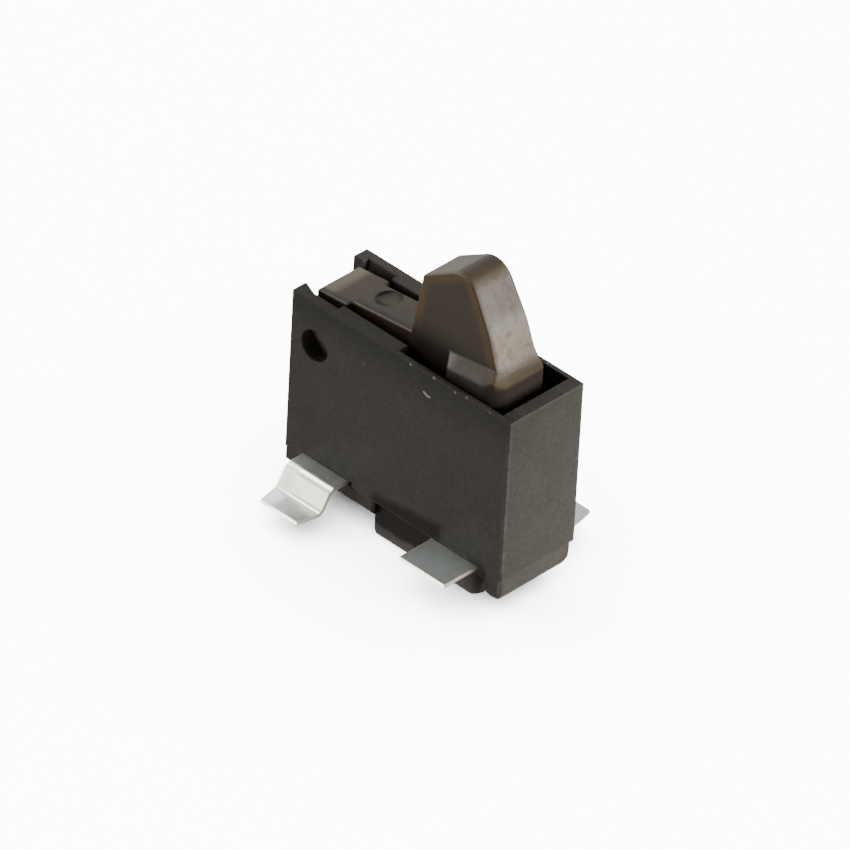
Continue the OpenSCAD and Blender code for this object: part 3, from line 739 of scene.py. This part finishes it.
def lever_finish(colours, size, turns, reach):
    """Brown moulding of the lever: painted amber light through thin edges, painted shade down in
    the case.
    """
    finish = Finish("lever_plastic", IOR=1.36)
    x, y, z = finish.x - PIVOT.x, finish.y, finish.z - PIVOT.z
    nx, ny, nz = finish.normal()
    lean = size.cam_lean / (size.cam_corner - size.cam_foot)
    corner_x, knee_x, end_x = cam_line(size, turns, reach)
    rear = x - size.cam_from - (z - size.cam_foot) * lean
    top = ((x - corner_x) * math.tan(turns.cam_rise) + size.cam_corner - z) \
        * math.cos(turns.cam_rise)
    upper = (knee_x - x) * math.sin(turns.cam_slope) \
        - (z - size.knee_height) * math.cos(turns.cam_slope)
    lower = (end_x - x) * math.sin(turns.cam_low_slope) \
        - (z - size.slope_end) * math.cos(turns.cam_low_slope)
    inside = rear.least(top).least(upper).least(lower)
    taper = (size.cam_width - size.cam_top_width) / 2 / (size.cam_corner - size.slope_end)
    flank = size.cam_width / 2 - (z - size.slope_end).most(0.0) * taper - abs(y)
    mottle = finish.noise(3.2, detail=4.0, roughness=0.65)
    fine = finish.noise(16.0, detail=2.0, roughness=0.6)
    side = abs(ny).fade(0.4, 0.8)
    near_half = y.fade(0.1, -0.1)
    faces_up = nz.fade(0.8, 0.97)
    edge = inside.fade(0.34, 0.10) * side * (mottle * 0.8 + 0.6)
    edge = edge.most(flank.fade(0.15, 0.04) * near_half * (1.0 - side) * 0.85)
    edge = edge * rear.fade(-0.05, 0.05) * z.fade(size.toe_height, size.slope_end + 0.1)
    edge = edge.most(x.fade(reach - 0.40, reach - 0.15) * y.fade(-0.50, -0.75) * 0.8)
    half = x.fade(size.waist_from - 0.02, size.waist_from, size.arm_width / 2,
                  size.waist_width / 2)
    on_arm = rear.fade(0.0, -0.1)
    # painted shade: the flanks and the arm's top are darker
    arm = faces_up * x.fade(-0.3, 0.05)
    tone = (mottle * 0.35 + fine * 0.3 + 0.62) * (1.0 - side * 0.58) * (1.0 - arm * 0.5)
    brown = finish.shade(colours.lever_brown, tone)
    # painted reflection: the crest is darker; the working face has dark spots and smudges, and a
    # pale bloom with painted sheen
    crest = (top + upper).fade(0.45, 0.1)
    toe = x.fade(end_x - 0.3, end_x - 0.1) * z.fade(size.toe_height - 0.3, size.toe_height)
    working = nx.fade(0.5, 0.8).most(toe * nz.fade(0.2, 0.4))
    smudge = finish.noise(1.7, detail=4.0, roughness=0.6).fade(0.42, 0.62)
    spots = finish.noise(5.0, detail=1.5, roughness=0.5).fade(0.50, 0.68) * working
    tint = finish.mix((crest * 0.65 + spots * 0.3).least(1.0), brown, colours.lever_dark)
    middle = z.fade(1.45, 1.95) * z.fade(2.9, 2.4)
    patch = finish.noise(7.0, detail=2.0, roughness=0.6)
    pale = 0.06 + middle * 0.2 - smudge * 0.25 + fine * 0.45 + patch * 0.5
    bloom_and_sheen = working * (pale + flank.fade(0.45, 0.15) * near_half * 0.1).most(0.0) \
        * (1.0 - spots * 0.45)
    # painted light: pale on the cam's top, the arm's tail and the ledge's top
    bloom_and_sheen = bloom_and_sheen.most(nz.fade(0.6, 0.8) * nx.fade(-0.3, -0.45) * 0.35)
    bloom_and_sheen = bloom_and_sheen.most(faces_up * x.fade(0.05, -0.3) * 0.65)
    ledge_top = ny.fade(-0.3, -0.5) * nz.fade(0.6, 0.75)
    strip_end = x.fade(reach - size.ledge_length + 0.45, reach - size.ledge_length + 0.1)
    bloom_and_sheen = bloom_and_sheen.most(ledge_top * (fine * 0.4 + 0.1 + strip_end * 0.6))
    tint = finish.mix((bloom_and_sheen * (1.0 - crest * 0.9)).least(1.0), tint, colours.lever_dust_and_sheen)
    # painted shade: the working face low down and the ledge's top are darkened
    worn = 1.0 - working * (1.0 - middle) * 0.36 - ledge_top * (1.0 - strip_end) * 0.35
    tint = finish.shade(tint, worn)
    # painted light: amber where light shines through the thin edges
    amber = finish.shade(colours.edge_amber, 1.0 - nx.fade(0.1, 0.5) * 0.5)
    tint = finish.mix((edge * 0.9).least(1.0), tint, amber)
    # painted shade, in dark amber, on the toe's front
    nose = z.fade(size.toe_height + 0.32, size.toe_height - 0.02) \
        * x.fade(end_x - 0.15, end_x + 0.15) * (1.0 - ledge_top)
    tint = finish.mix(nose * 0.75, tint, finish.shade(colours.edge_amber, 0.7))
    # painted shade: darker low in the case, on the toe, and along the arm's near edge
    deep = (z.fade(2.05, 1.25) * rear.fade(-0.1, 0.0) * side).most(z.fade(1.15, 0.7))
    deep = deep.most(z.fade(size.toe_height + 0.05, size.toe_height - 0.10) * nx.fade(0.2, 0.6))
    deep = deep.most(z.fade(size.toe_height + 0.05, size.toe_height - 0.05)
                     * ny.fade(-0.5, -0.8) * 0.85)
    bearing = (x * x + z * z).root().fade(0.42, 0.38) * abs(y).fade(0.6, 0.7)
    deep = deep * (1.0 - bearing * 0.35)
    arm_edge = (half - abs(y)).fade(0.25, 0.08) * near_half * on_arm
    deep = deep.most(arm_edge * (mottle * 0.4 + 0.8)).least(1.0)
    tint = finish.mix(deep * (1.0 - ledge_top) * 0.92, tint, colours.lever_shade)
    # painted light and shade: the arm's side walls are dim amber, lit through
    tint = finish.mix(side * on_arm * z.fade(0.3, 0.9) * 0.9, tint,
                      finish.shade(colours.edge_amber, 0.42))
    # light shines through the wall of the round recess
    off_x, off_y = x - size.dimple_at, y - size.dimple_side
    well = (off_x * off_x + off_y * off_y).root().fade(size.dimple_radius + 0.06,
                                                       size.dimple_radius + 0.02)
    tint = finish.mix(well * nz.fade(0.6, 0.3) * z.fade(0.6, 0.8), tint,
                      finish.shade(colours.edge_amber, 3.5))
    # painted shade on the recess's floor by its far wall
    tint = finish.mix(well * (off_y - off_x).fade(-0.1, 0.4) * nz.fade(0.3, 0.6) * z.fade(0.6, 0.8)
                      * 0.7, tint, colours.lever_shade)
    finish.feed("Base Color", tint)
    finish.feed("Roughness", mottle * 0.2 + 0.36 + nose * 0.35)
    finish.bump(mottle * 0.7 + fine * 0.3 - spots * 0.4, 0.01, 0.5)
    return finish.material


def tin_finish(colours):
    """Matt tin plating with fine scratches and cut edges; a painted reflection on the slopes, a
    painted highlight on the cut ends.
    """
    finish = Finish("tin_plate", Metallic=0.9)
    nx, ny, nz = finish.normal()
    cloud = finish.noise(2.2, detail=3.0)
    grain = finish.noise(24.0, detail=2.0, roughness=0.6)
    scratch = finish.noise(9.0, detail=4.0, roughness=0.7, stretch=(1.0, 5.0, 1.0))
    scratch = scratch.fade(0.60, 0.72)
    cut_side = abs(nz).fade(0.45, 0.2) * abs(nx).fade(0.8, 0.95)
    cut_front_and_glint = abs(nz).fade(0.45, 0.2) * abs(ny).fade(0.8, 0.95)
    lift = finish.x.fade(HEEL_X + 0.5, HEEL_X + 1.05)
    tint = finish.shade(colours.tin, cloud * 0.16 + grain * 0.14 + 0.83)
    # painted reflection: the slopes of the leads are warmer and paler
    tint = finish.mix(abs(ny).fade(0.12, 0.4), tint, colours.slope_reflection)
    tint = finish.mix(cut_side * 0.85, tint, colours.cut_edge)
    # the cut ends show bare metal, painted pale as a highlight
    tint = finish.mix(cut_front_and_glint * 0.85, tint, colours.cut_front_and_glint)
    finish.feed("Base Color", finish.mix(scratch * 0.5, tint, colours.scratch))
    finish.feed("Roughness", cloud * 0.14 + grain * 0.08 + 0.23 + cut_side * 0.15)
    finish.bump(cloud * 0.5 + grain * 0.25 + scratch * 0.3 + lift * 20.0, 0.006, 0.5)
    return finish.material


def metal_finish(name, tint, roughness):
    """Bare sheet or wire with fine drawing marks."""
    finish = Finish(name, Metallic=1.0)
    marks = finish.noise(6.0, detail=3.0, stretch=(1, 6, 1))
    finish.feed("Base Color", finish.shade(tint, marks * 0.3 + 0.85))
    finish.feed("Roughness", marks * 0.15 + (roughness - 0.07))
    return finish.material


# ---- Pieces ----

class SWITCH_OT_case(bpy.types.Operator):
    """Model the open-topped case with its pivot holes and lead-in grooves"""
    bl_idname = "switch.case"
    bl_label = "Case"

    def execute(self, context):
        size = Millimetres(context.scene.switch_case)
        ear_room = HALF_WIDTH - size.ear_wall
        thin_room = HALF_WIDTH - size.thin_wall
        thin_x = HEEL_X + size.thin_from
        above, below = RIM_Z + OVER, DECK_Z - OVER
        chamfer = size.ear_chamfer
        case = prism("switch_case", [(HEEL_X, DECK_Z), (END_X, DECK_Z), (END_X, RIM_Z),
                                     (HEEL_X + chamfer, RIM_Z), (HEEL_X, RIM_Z - chamfer)],
                     "XZ", -HALF_WIDTH, HALF_WIDTH)
        cut(case,
            block("ear_slot", (HEEL_X - OVER, -ear_room, PIVOT.z + size.lip_height),
                  (thin_x + OVER, ear_room, above)),
            block("ear_cavity", (HEEL_X + size.lip_length, -ear_room, below),
                  (thin_x + OVER, ear_room, above)),
            rod("hub_room", PIVOT, size.hub_room, 2 * ear_room),
            block("heel_cavity", (HEEL_X + size.heel_wall, -ear_room, below),
                  (HEEL_X + size.lip_length + OVER, ear_room, PIVOT.z)),
            block("cam_cavity", (thin_x, -thin_room, below),
                  (END_X - size.end_wall, thin_room, above)),
            block("lead_notch", (HEEL_X + size.notch_from, -HALF_WIDTH - OVER, below),
                  (HEEL_X + size.notch_from + size.notch_length, HALF_WIDTH + OVER,
                   DECK_Z + size.notch_height)),
            *self.grooves(size, ear_room, above))
        clean_faces(case)
        cut(case, rod("pivot_hole", PIVOT, size.hole_radius, 2 * (HALF_WIDTH + OVER)))
        merge_corners(case)
        round_edges(case, size.edge, lambda edge: sharp(edge) and all(
            self.outside(vertex.co) for vertex in edge.verts) and max(
            vertex.co.z for vertex in edge.verts) > DECK_Z + size.notch_height + 0.01)
        finish_piece(case, "housing", "case_plastic", case_finish(context.scene.switch_finish),
                     "case")
        return {"FINISHED"}

    @staticmethod
    def grooves(size, ear_room, above):
        """Ramps that the trunnions ride down; the near one runs out at the pivot end."""
        floor = PIVOT.z + size.groove_floor
        widen = size.groove_depth / (RIM_Z - floor) * (above - floor)
        end = PIVOT.x + size.groove_width / 2
        for side, start in ((-1, HEEL_X), (1, end - size.groove_width)):
            inner, deep = side * (ear_room - OVER), side * (ear_room + widen)
            groove = prism("groove", [(inner, floor), (side * ear_room, floor), (deep, above),
                                      (inner, above)], "YZ", start, end)
            if side < 0:
                carve(groove, "INTERSECT", prism("run_out", [
                    (start, inner), (start, side * (ear_room - 0.01)),
                    (start + size.groove_run, deep), (end + OVER, deep), (end + OVER, inner)],
                    "XY", floor - OVER, above + OVER))
            yield groove

    @staticmethod
    def outside(point):
        """Tells whether a point lies on the sides, the free end or the rim."""
        return (abs(abs(point.y) - HALF_WIDTH) < 0.001 or abs(point.x - END_X) < 0.001
                or abs(point.x - HEEL_X) < 0.001 or abs(point.z - RIM_Z) < 0.001)


class SWITCH_OT_base(bpy.types.Operator):
    """Shape the base from its solid, with its moulded edges rounded"""
    bl_idname = "switch.base"
    bl_label = "Base"

    def execute(self, context):
        size = Millimetres(context.scene.switch_base)
        mesh = frame["nodes"]["base"].data.copy()
        base = bpy.data.objects.new("switch_base", mesh)
        context.scene.collection.objects.link(base)
        base.scale = (1 / MM, 1 / MM, 1 / MM)
        choose(base)
        bpy.ops.object.transform_apply(location=True, rotation=True, scale=True)
        clean_faces(base)
        for side in (-1, 1):
            slice_off(base, (END_X - size.corner, side * HALF_WIDTH, 0), (1, side, 0))
        round_edges(base, size.edge, lambda edge: sharp(edge) and all(
            vertex.co.z < DECK_Z - 0.2 for vertex in edge.verts), segments=2)
        finish_piece(base, "housing", "base_plastic", base_finish(context.scene.switch_finish),
                     "base")
        return {"FINISHED"}


class SWITCH_OT_terminals(bpy.types.Operator):
    """Model both stamped terminals with their formed leads and standing blades"""
    bl_idname = "switch.terminals"
    bl_label = "Terminals"

    def execute(self, context):
        size = Millimetres(context.scene.switch_terminals)
        case = Millimetres(context.scene.switch_case)
        tin = tin_finish(context.scene.switch_finish)
        for name, node, side, lead_x in (
                ("switch_common_terminal", "common_terminal", -1, HEEL_X + size.common_in),
                ("switch_switching_terminal", "switch_terminal", 1,
                 END_X - size.switch_in - size.lead_width)):
            piece = self.terminal(size, case, name, lead_x, DECK_Z - side * size.sheet / 2, side)
            finish_piece(piece, "housing", "tin_plate", tin, node)
        return {"FINISHED"}

    @staticmethod
    def terminal(size, case, name, lead_x, level, side):
        """A strip across the body with a formed lead on one side and a tab on the other."""
        thick, width = size.sheet, size.lead_width
        root = HALF_WIDTH + size.lead_run
        knee, toe = root + size.slope_run, HALF_WIDTH + size.lead_reach
        foot_z = DECK_Z - size.foot_drop + thick / 2
        line = [(-HALF_WIDTH - size.tab_reach, level), (root, level, size.bend),
                (knee, foot_z, size.bend), (toe, foot_z)]
        piece = prism(name, [(side * a, b, r) for a, b, r in strip(line, thick)], "YZ",
                      lead_x, lead_x + width)
        taper = (width - size.toe_width) / 2
        for end, x in ((-1, lead_x), (1, lead_x + width)):
            slice_off(piece, (x, side * knee, 0), (end * (toe - knee), side * taper, 0))
        round_edges(piece, size.edge, segments=2)
        blade_x = HEEL_X + case.thin_from + size.blade_back
        face = HALF_WIDTH - case.thin_wall - size.blade_gap - thick
        link = sorted((side * size.link_in, side * (face + thick)))
        post = sorted((side * face, side * (face + thick)))
        low, high = level - thick / 2, level + thick / 2
        near = min(lead_x + width - OVER, blade_x)
        far = max(lead_x + OVER, blade_x + size.blade_width)
        inner = sorted((side * size.link_in, side * (HALF_WIDTH - case.ear_wall - 0.06)))
        fuse(piece,
             block("link", (near, inner[0], low + 0.001), (far, inner[1], high - 0.001)),
             block("pad", (blade_x, link[0], low), (blade_x + size.blade_width, link[1], high)),
             block("blade", (blade_x, post[0], low),
                   (blade_x + size.blade_width, post[1], DECK_Z + size.blade_height)))
        return piece


class SWITCH_OT_lever(bpy.types.Operator):
    """Model the lever with its cam, side ledge, trunnions and keel"""
    bl_idname = "switch.lever"
    bl_label = "Lever"

    def execute(self, context):
        size = Millimetres(context.scene.switch_lever)
        case = Millimetres(context.scene.switch_case)
        clip = Millimetres(context.scene.switch_clip)
        turns = context.scene.switch_lever
        reach = END_X - PIVOT.x - case.end_wall - size.end_gap
        ledge_x = reach - size.ledge_length
        outer = HALF_WIDTH - case.thin_wall - size.ledge_gap
        lever = prism("switch_lever", self.side_outline(size, turns, reach, ledge_x), "XZ",
                      -outer - OVER, outer + OVER, segments=12)
        carve(lever, "INTERSECT", prism("plan", self.plan_outline(size, reach, ledge_x, outer),
                                        "XY", -1.0, 5.0))
        cut(lever, *self.beside_cam(size, turns, reach, ledge_x, outer))
        clean_faces(lever)
        round_edges(lever, size.edge)
        keel = clip.clip_length / 2 + clip.keel_edge
        fuse(lever,
             rod("hub", (0, 0, 0), size.hub_radius, size.arm_width),
             block("keel", (clip.clip_at - keel, -clip.keel_width / 2, -clip.keel_depth),
                   (clip.clip_at + keel, clip.keel_width / 2, OVER)),
             rod("post", (clip.spring_at, 0, 0), clip.post_radius, 2 * clip.post_length, "Z"),
             self.trunnions(size, turns.bevel_turn))
        clean_faces(lever)
        tilt = arm_tilt(size)
        top = size.tail_height + (size.dimple_at + size.tail) * math.tan(tilt)
        dimple = rod("dimple", (0, 0, 0), size.dimple_radius, 2 * size.dimple_depth, "Z")
        cut(lever, turn_and_move(dimple, -tilt, (size.dimple_at, size.dimple_side, top)))
        turn_and_move(lever, 0, PIVOT)
        merge_corners(lever)
        finish_piece(lever, "lever", "lever_plastic",
                     lever_finish(context.scene.switch_finish, size, turns, reach), "lever")
        return {"FINISHED"}

    @staticmethod
    def side_outline(size, turns, reach, ledge_x):
        """Side outline of arm and cam."""
        corner_x, knee_x, end_x = cam_line(size, turns, reach)
        upper, rise = math.tan(turns.cam_slope), math.tan(turns.cam_rise)
        peak_x = (knee_x * upper + corner_x * rise + size.knee_height
                  - size.cam_corner) / (rise + upper)
        peak_z = size.cam_corner + (peak_x - corner_x) * rise
        foot = size.foot_depth
        return [(-size.tail, size.tail_under), (-size.tail, size.tail_height),
                (size.cam_from, size.cam_foot), (corner_x, size.cam_corner, 0.1),
                (peak_x, peak_z, size.peak_radius), (knee_x, size.knee_height, size.knee_radius),
                (end_x, size.slope_end, size.slope_blend),
                (reach, size.toe_height, size.toe_radius),
                (reach, -foot), (ledge_x, -foot), (ledge_x - foot / 2, 0), (0, 0),
                (-0.1, size.tail_under)]

    @staticmethod
    def plan_outline(size, reach, ledge_x, outer):
        """Plan outline of arm, cam and ledge."""
        arm, waist, cam = size.arm_width / 2, size.waist_width / 2, size.cam_width / 2
        return [(-size.tail - OVER, -arm), (size.waist_from, -arm), (size.waist_from, -waist),
                (size.cam_from, -waist), (size.cam_from, -cam), (ledge_x, -cam),
                (ledge_x + size.ledge_slant, -outer), (reach, -outer, size.nose_radius),
                (reach, cam, 0.1), (size.cam_from, cam), (size.cam_from, waist),
                (size.waist_from, waist), (size.waist_from, arm), (-size.tail - OVER, arm)]

    @staticmethod
    def beside_cam(size, turns, reach, ledge_x, outer):
        """What is cut away over and under the ledge, and for the taper of the cam."""
        cam = size.cam_width / 2
        taper = (cam - size.cam_top_width / 2) / (size.cam_corner - size.slope_end)
        tilt = arm_tilt(size)
        past, high = outer + 2 * OVER, 4.0
        start = size.cam_from - ledge_x - 0.05
        fall = (past - cam) * math.tan(turns.ledge_slope)
        over = prism("over_ledge", [(-cam, 0), (-past, -fall), (-past, high),
                                    (-cam + taper * high, high)],
                     "YZ", start, size.ledge_length + 0.5)
        under = prism("under_ledge", [(-cam, -size.ledge_thick), (-cam, -high), (-past, -high),
                                      (-past, -size.ledge_thick)],
                      "YZ", start, size.ledge_length + 0.5)
        far = prism("far_side", [(cam, size.slope_end), (past, size.slope_end), (past, high),
                                 (cam - taper * (high - size.slope_end), high)],
                    "YZ", size.cam_from - 0.05, reach + OVER)
        place = (ledge_x, 0, size.ledge_height)
        return [turn_and_move(over, -tilt, place), turn_and_move(under, -tilt, place), far]

    @staticmethod
    def trunnions(size, bevel_turn):
        """One pin through the hub, bevelled under both ends."""
        reach = HALF_WIDTH - size.trunnion_in
        pin = rod("trunnions", (0, 0, 0), size.trunnion_radius, 2 * reach)
        turn = Matrix.Rotation(bevel_turn, 3, "Y")
        down = size.trunnion_land + size.trunnion_radius
        for side in (-1, 1):
            slice_off(pin, turn @ Vector((0, side * reach, size.trunnion_land)),
                      turn @ Vector((0, side * down, -size.trunnion_bevel)))
        return pin


class SWITCH_OT_clip_and_spring(bpy.types.Operator):
    """Model the contact clip on the lever's keel and the return spring"""
    bl_idname = "switch.clip_and_spring"
    bl_label = "Clip and Spring"

    def execute(self, context):
        size = Millimetres(context.scene.switch_clip)
        colours = context.scene.switch_finish
        self.clip(size, Millimetres(context.scene.switch_case),
                  Millimetres(context.scene.switch_terminals), colours)
        self.spring(size, context.scene.switch_clip.turns, colours)
        return {"FINISHED"}

    @staticmethod
    def clip(size, case, terminal, colours):
        """A strip folded round the keel, with two sprung fingers."""
        blade = HALF_WIDTH - case.thin_wall - terminal.blade_gap - terminal.sheet
        nose = blade - size.nose_gap - size.sheet / 2
        foot = size.keel_width / 2 + size.play + size.sheet / 2
        low = -size.keel_depth - size.play - size.sheet / 2
        bend = 0.75 * size.sheet
        half = [(foot, low, bend), (foot, low + size.foot, bend), (nose, low + size.nose, bend),
                (nose - size.tip_in, low + size.height, 0)]
        line = [(-a, b, r) for a, b, r in half[::-1]] + half
        clip = prism("switch_contact_clip", strip(line, size.sheet), "YZ",
                     size.clip_at - size.clip_length / 2, size.clip_at + size.clip_length / 2,
                     segments=4)
        turn_and_move(clip, 0, PIVOT)
        finish_piece(clip, "lever", "contact_metal",
                     metal_finish("contact_metal", colours.clip_metal, 0.3), "moving_contact")

    @staticmethod
    def spring(size, turns, colours):
        """A coil with two closed end turns, drawn as a line and given its wire."""
        low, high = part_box("return_spring")
        bottom, top = low.z / MM + size.wire / 2, high.z / MM - size.wire / 2
        dead, steps = 1.1, 24
        clear_selection()
        bpy.ops.curve.primitive_bezier_curve_add()
        coil = bpy.context.object
        coil.name = "switch_return_spring"
        line = coil.data
        line.splines.clear()
        spline = line.splines.new("POLY")
        spline.points.add(turns * steps)
        for index, point in enumerate(spline.points):
            turn = index / steps
            share = min(max((turn - dead) / (turns - 2 * dead), 0), 1)
            rise = (share * (top - bottom - 2 * size.wire) + min(turn / dead, 1) * size.wire
                    + max(turn - turns + dead, 0) / dead * size.wire)
            around = 2 * math.pi * turn
            point.co = (PIVOT.x + size.spring_at + size.coil_radius * math.cos(around),
                        size.coil_radius * math.sin(around), bottom + rise, 1)
        line.dimensions = "3D"
        line.bevel_depth = size.wire / 2
        line.bevel_resolution = 3
        line.use_fill_caps = True
        bpy.ops.object.convert(target="MESH")
        merge_corners(coil)
        finish_piece(coil, "housing", "spring_steel",
                     metal_finish("spring_steel", colours.spring_metal, 0.3), "return_spring")
        low.z
        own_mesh(coil)


class SWITCH_OT_stage(bpy.types.Operator):
    """Set up the floor, the soft lights and the camera"""
    bl_idname = "switch.stage"
    bl_label = "Stage"

    def execute(self, context):
        stage = context.scene.switch_stage
        lit = {name: bpy.data.collections.new(name) for name in ("lit_parts", "lit_metal")}
        for piece in frame["bodies"]["housing"].children[:] + frame["bodies"]["lever"].children[:]:
            lit["lit_parts"].objects.link(piece)
            if piece.name.endswith("_terminal"):
                lit["lit_metal"].objects.link(piece)
        self.floor(stage.floor_light)
        for name, place, size, group in LIGHTS:
            self.light(name, getattr(stage, name), place, size, lit[group])
        self.room(context.scene, stage.room, stage.bounce)
        self.camera(stage)
        return {"FINISHED"}

    @staticmethod
    def floor(brightness):
        """A large pale floor and backdrop, with a light of their own."""
        clear_selection()
        bpy.ops.mesh.primitive_circle_add(vertices=96, radius=FLOOR_RADIUS, fill_type="NGON")
        floor = bpy.context.object
        floor.name = "stage_floor"
        finish = Finish("stage_floor", Roughness=0.9)
        finish.feed("Base Color", finish.shade((0.9, 0.9, 0.9), finish.noise(0.05) * 0.02 + 0.99))
        floor.data.materials.append(finish.material)
        bpy.ops.mesh.primitive_uv_sphere_add(segments=96, ring_count=48, radius=FLOOR_RADIUS)
        backdrop = bpy.context.object
        backdrop.name = "stage_backdrop"
        finish = Finish("stage_backdrop", Base_Color=(0, 0, 0, 1), Specular_IOR_Level=0.0,
                        Emission_Color=(1, 1, 1, 1), Emission_Strength=brightness)
        backdrop.data.materials.append(finish.material)
        lit = bpy.data.collections.new("lit_floor")
        for surface in (floor, backdrop):
            surface.visible_diffuse = surface.visible_glossy = False
            surface.visible_transmission = surface.visible_shadow = False
            lit.objects.link(surface)
        bpy.ops.object.light_add(type="SUN", location=(0, 0, 0.5))
        sun = bpy.context.object
        sun.name = "light_floor"
        sun.data.energy = brightness * math.pi / 0.9
        sun.data.angle = math.radians(110)
        sun.light_linking.receiver_collection = lit

    @staticmethod
    def room(scene, above, below):
        """The soft light of the room all round, and of the floor from below."""
        world = scene.world or bpy.data.worlds.new("studio")
        scene.world = world
        world.use_nodes = True
        nodes, links = world.node_tree.nodes, world.node_tree.links
        direction = nodes.new("ShaderNodeTexCoord")
        height = nodes.new("ShaderNodeSeparateXYZ")
        fade = nodes.new("ShaderNodeMapRange")
        fade.interpolation_type = "SMOOTHSTEP"
        for socket, value in (("From Min", 0.12), ("From Max", -0.05), ("To Min", above),
                              ("To Max", below)):
            fade.inputs[socket].default_value = value
        links.new(direction.outputs["Generated"], height.inputs[0])
        links.new(height.outputs["Z"], fade.inputs["Value"])
        background = nodes["Background"]
        background.inputs["Color"].default_value = (1, 1, 1, 1)
        links.new(fade.outputs[0], background.inputs["Strength"])

    @staticmethod
    def light(name, radiance, place, size, lit):
        """A soft light that faces the object and lights only its pieces."""
        clear_selection()
        bpy.ops.object.light_add(type="AREA", location=place)
        light = bpy.context.object
        light.name = f"light_{name}"
        light.data.shape = "RECTANGLE"
        light.data.size, light.data.size_y = size
        light.data.energy = radiance * math.pi * size[0] * size[1]
        light.rotation_euler = (-Vector(place)).to_track_quat("-Z", "Y").to_euler()
        light.light_linking.receiver_collection = lit

    @staticmethod
    def camera(stage):
        """The camera at its angle, slightly rolled."""
        azimuth, elevation = stage.azimuth, stage.elevation
        flat = Vector((math.cos(azimuth), math.sin(azimuth), 0))
        back = Vector((math.sin(azimuth) * math.cos(elevation),
                       -math.cos(azimuth) * math.cos(elevation), math.sin(elevation)))
        level = back.cross(flat)
        right = math.cos(stage.roll) * flat + math.sin(stage.roll) * level
        up = back.cross(right)
        clear_selection()
        bpy.ops.object.camera_add()
        camera = bpy.context.object
        camera.name = "camera"
        camera.matrix_world = (Matrix.Translation(Vector(stage.target) + back * stage.distance)
                               @ Matrix((right, up, back)).transposed().to_4x4())
        camera.data.sensor_width = 36
        camera.data.lens = stage.focal_length
        camera.data.clip_start = 0.01
        camera.data.clip_end = 10
        bpy.context.scene.camera = camera


STEPS = (SWITCH_OT_case, SWITCH_OT_base, SWITCH_OT_terminals, SWITCH_OT_lever,
         SWITCH_OT_clip_and_spring, SWITCH_OT_stage)


class SWITCH_PT_panel(bpy.types.Panel):
    """Lists the steps that build the switch"""
    bl_idname = "SWITCH_PT_panel"
    bl_label = "Detector Switch"
    bl_space_type = "VIEW_3D"
    bl_region_type = "UI"
    bl_category = "Detector Switch"

    def draw(self, context):
        for step in STEPS:
            self.layout.operator(step.bl_idname)


SETTINGS = {
    "switch_case": CaseSettings, "switch_lever": LeverSettings, "switch_base": BaseSettings,
    "switch_terminals": TerminalSettings, "switch_clip": ClipSettings,
    "switch_finish": FinishSettings, "switch_stage": StageSettings,
}


def register():
    """Registers the settings, the steps and the panel."""
    for name, group in SETTINGS.items():
        bpy.utils.register_class(group)
        setattr(bpy.types.Scene, name, PointerProperty(type=group))
    for step in (*STEPS, SWITCH_PT_panel):
        bpy.utils.register_class(step)


def unregister():
    """Removes what register adds."""
    for step in (SWITCH_PT_panel, *reversed(STEPS)):
        bpy.utils.unregister_class(step)
    for name, group in reversed(SETTINGS.items()):
        delattr(bpy.types.Scene, name)
        bpy.utils.unregister_class(group)


def main():
    """Builds the switch and its stage."""
    register()
    for step in STEPS:
        group, name = step.bl_idname.split(".")
        getattr(getattr(bpy.ops, group), name)()


if __name__ == "__main__":
    main()
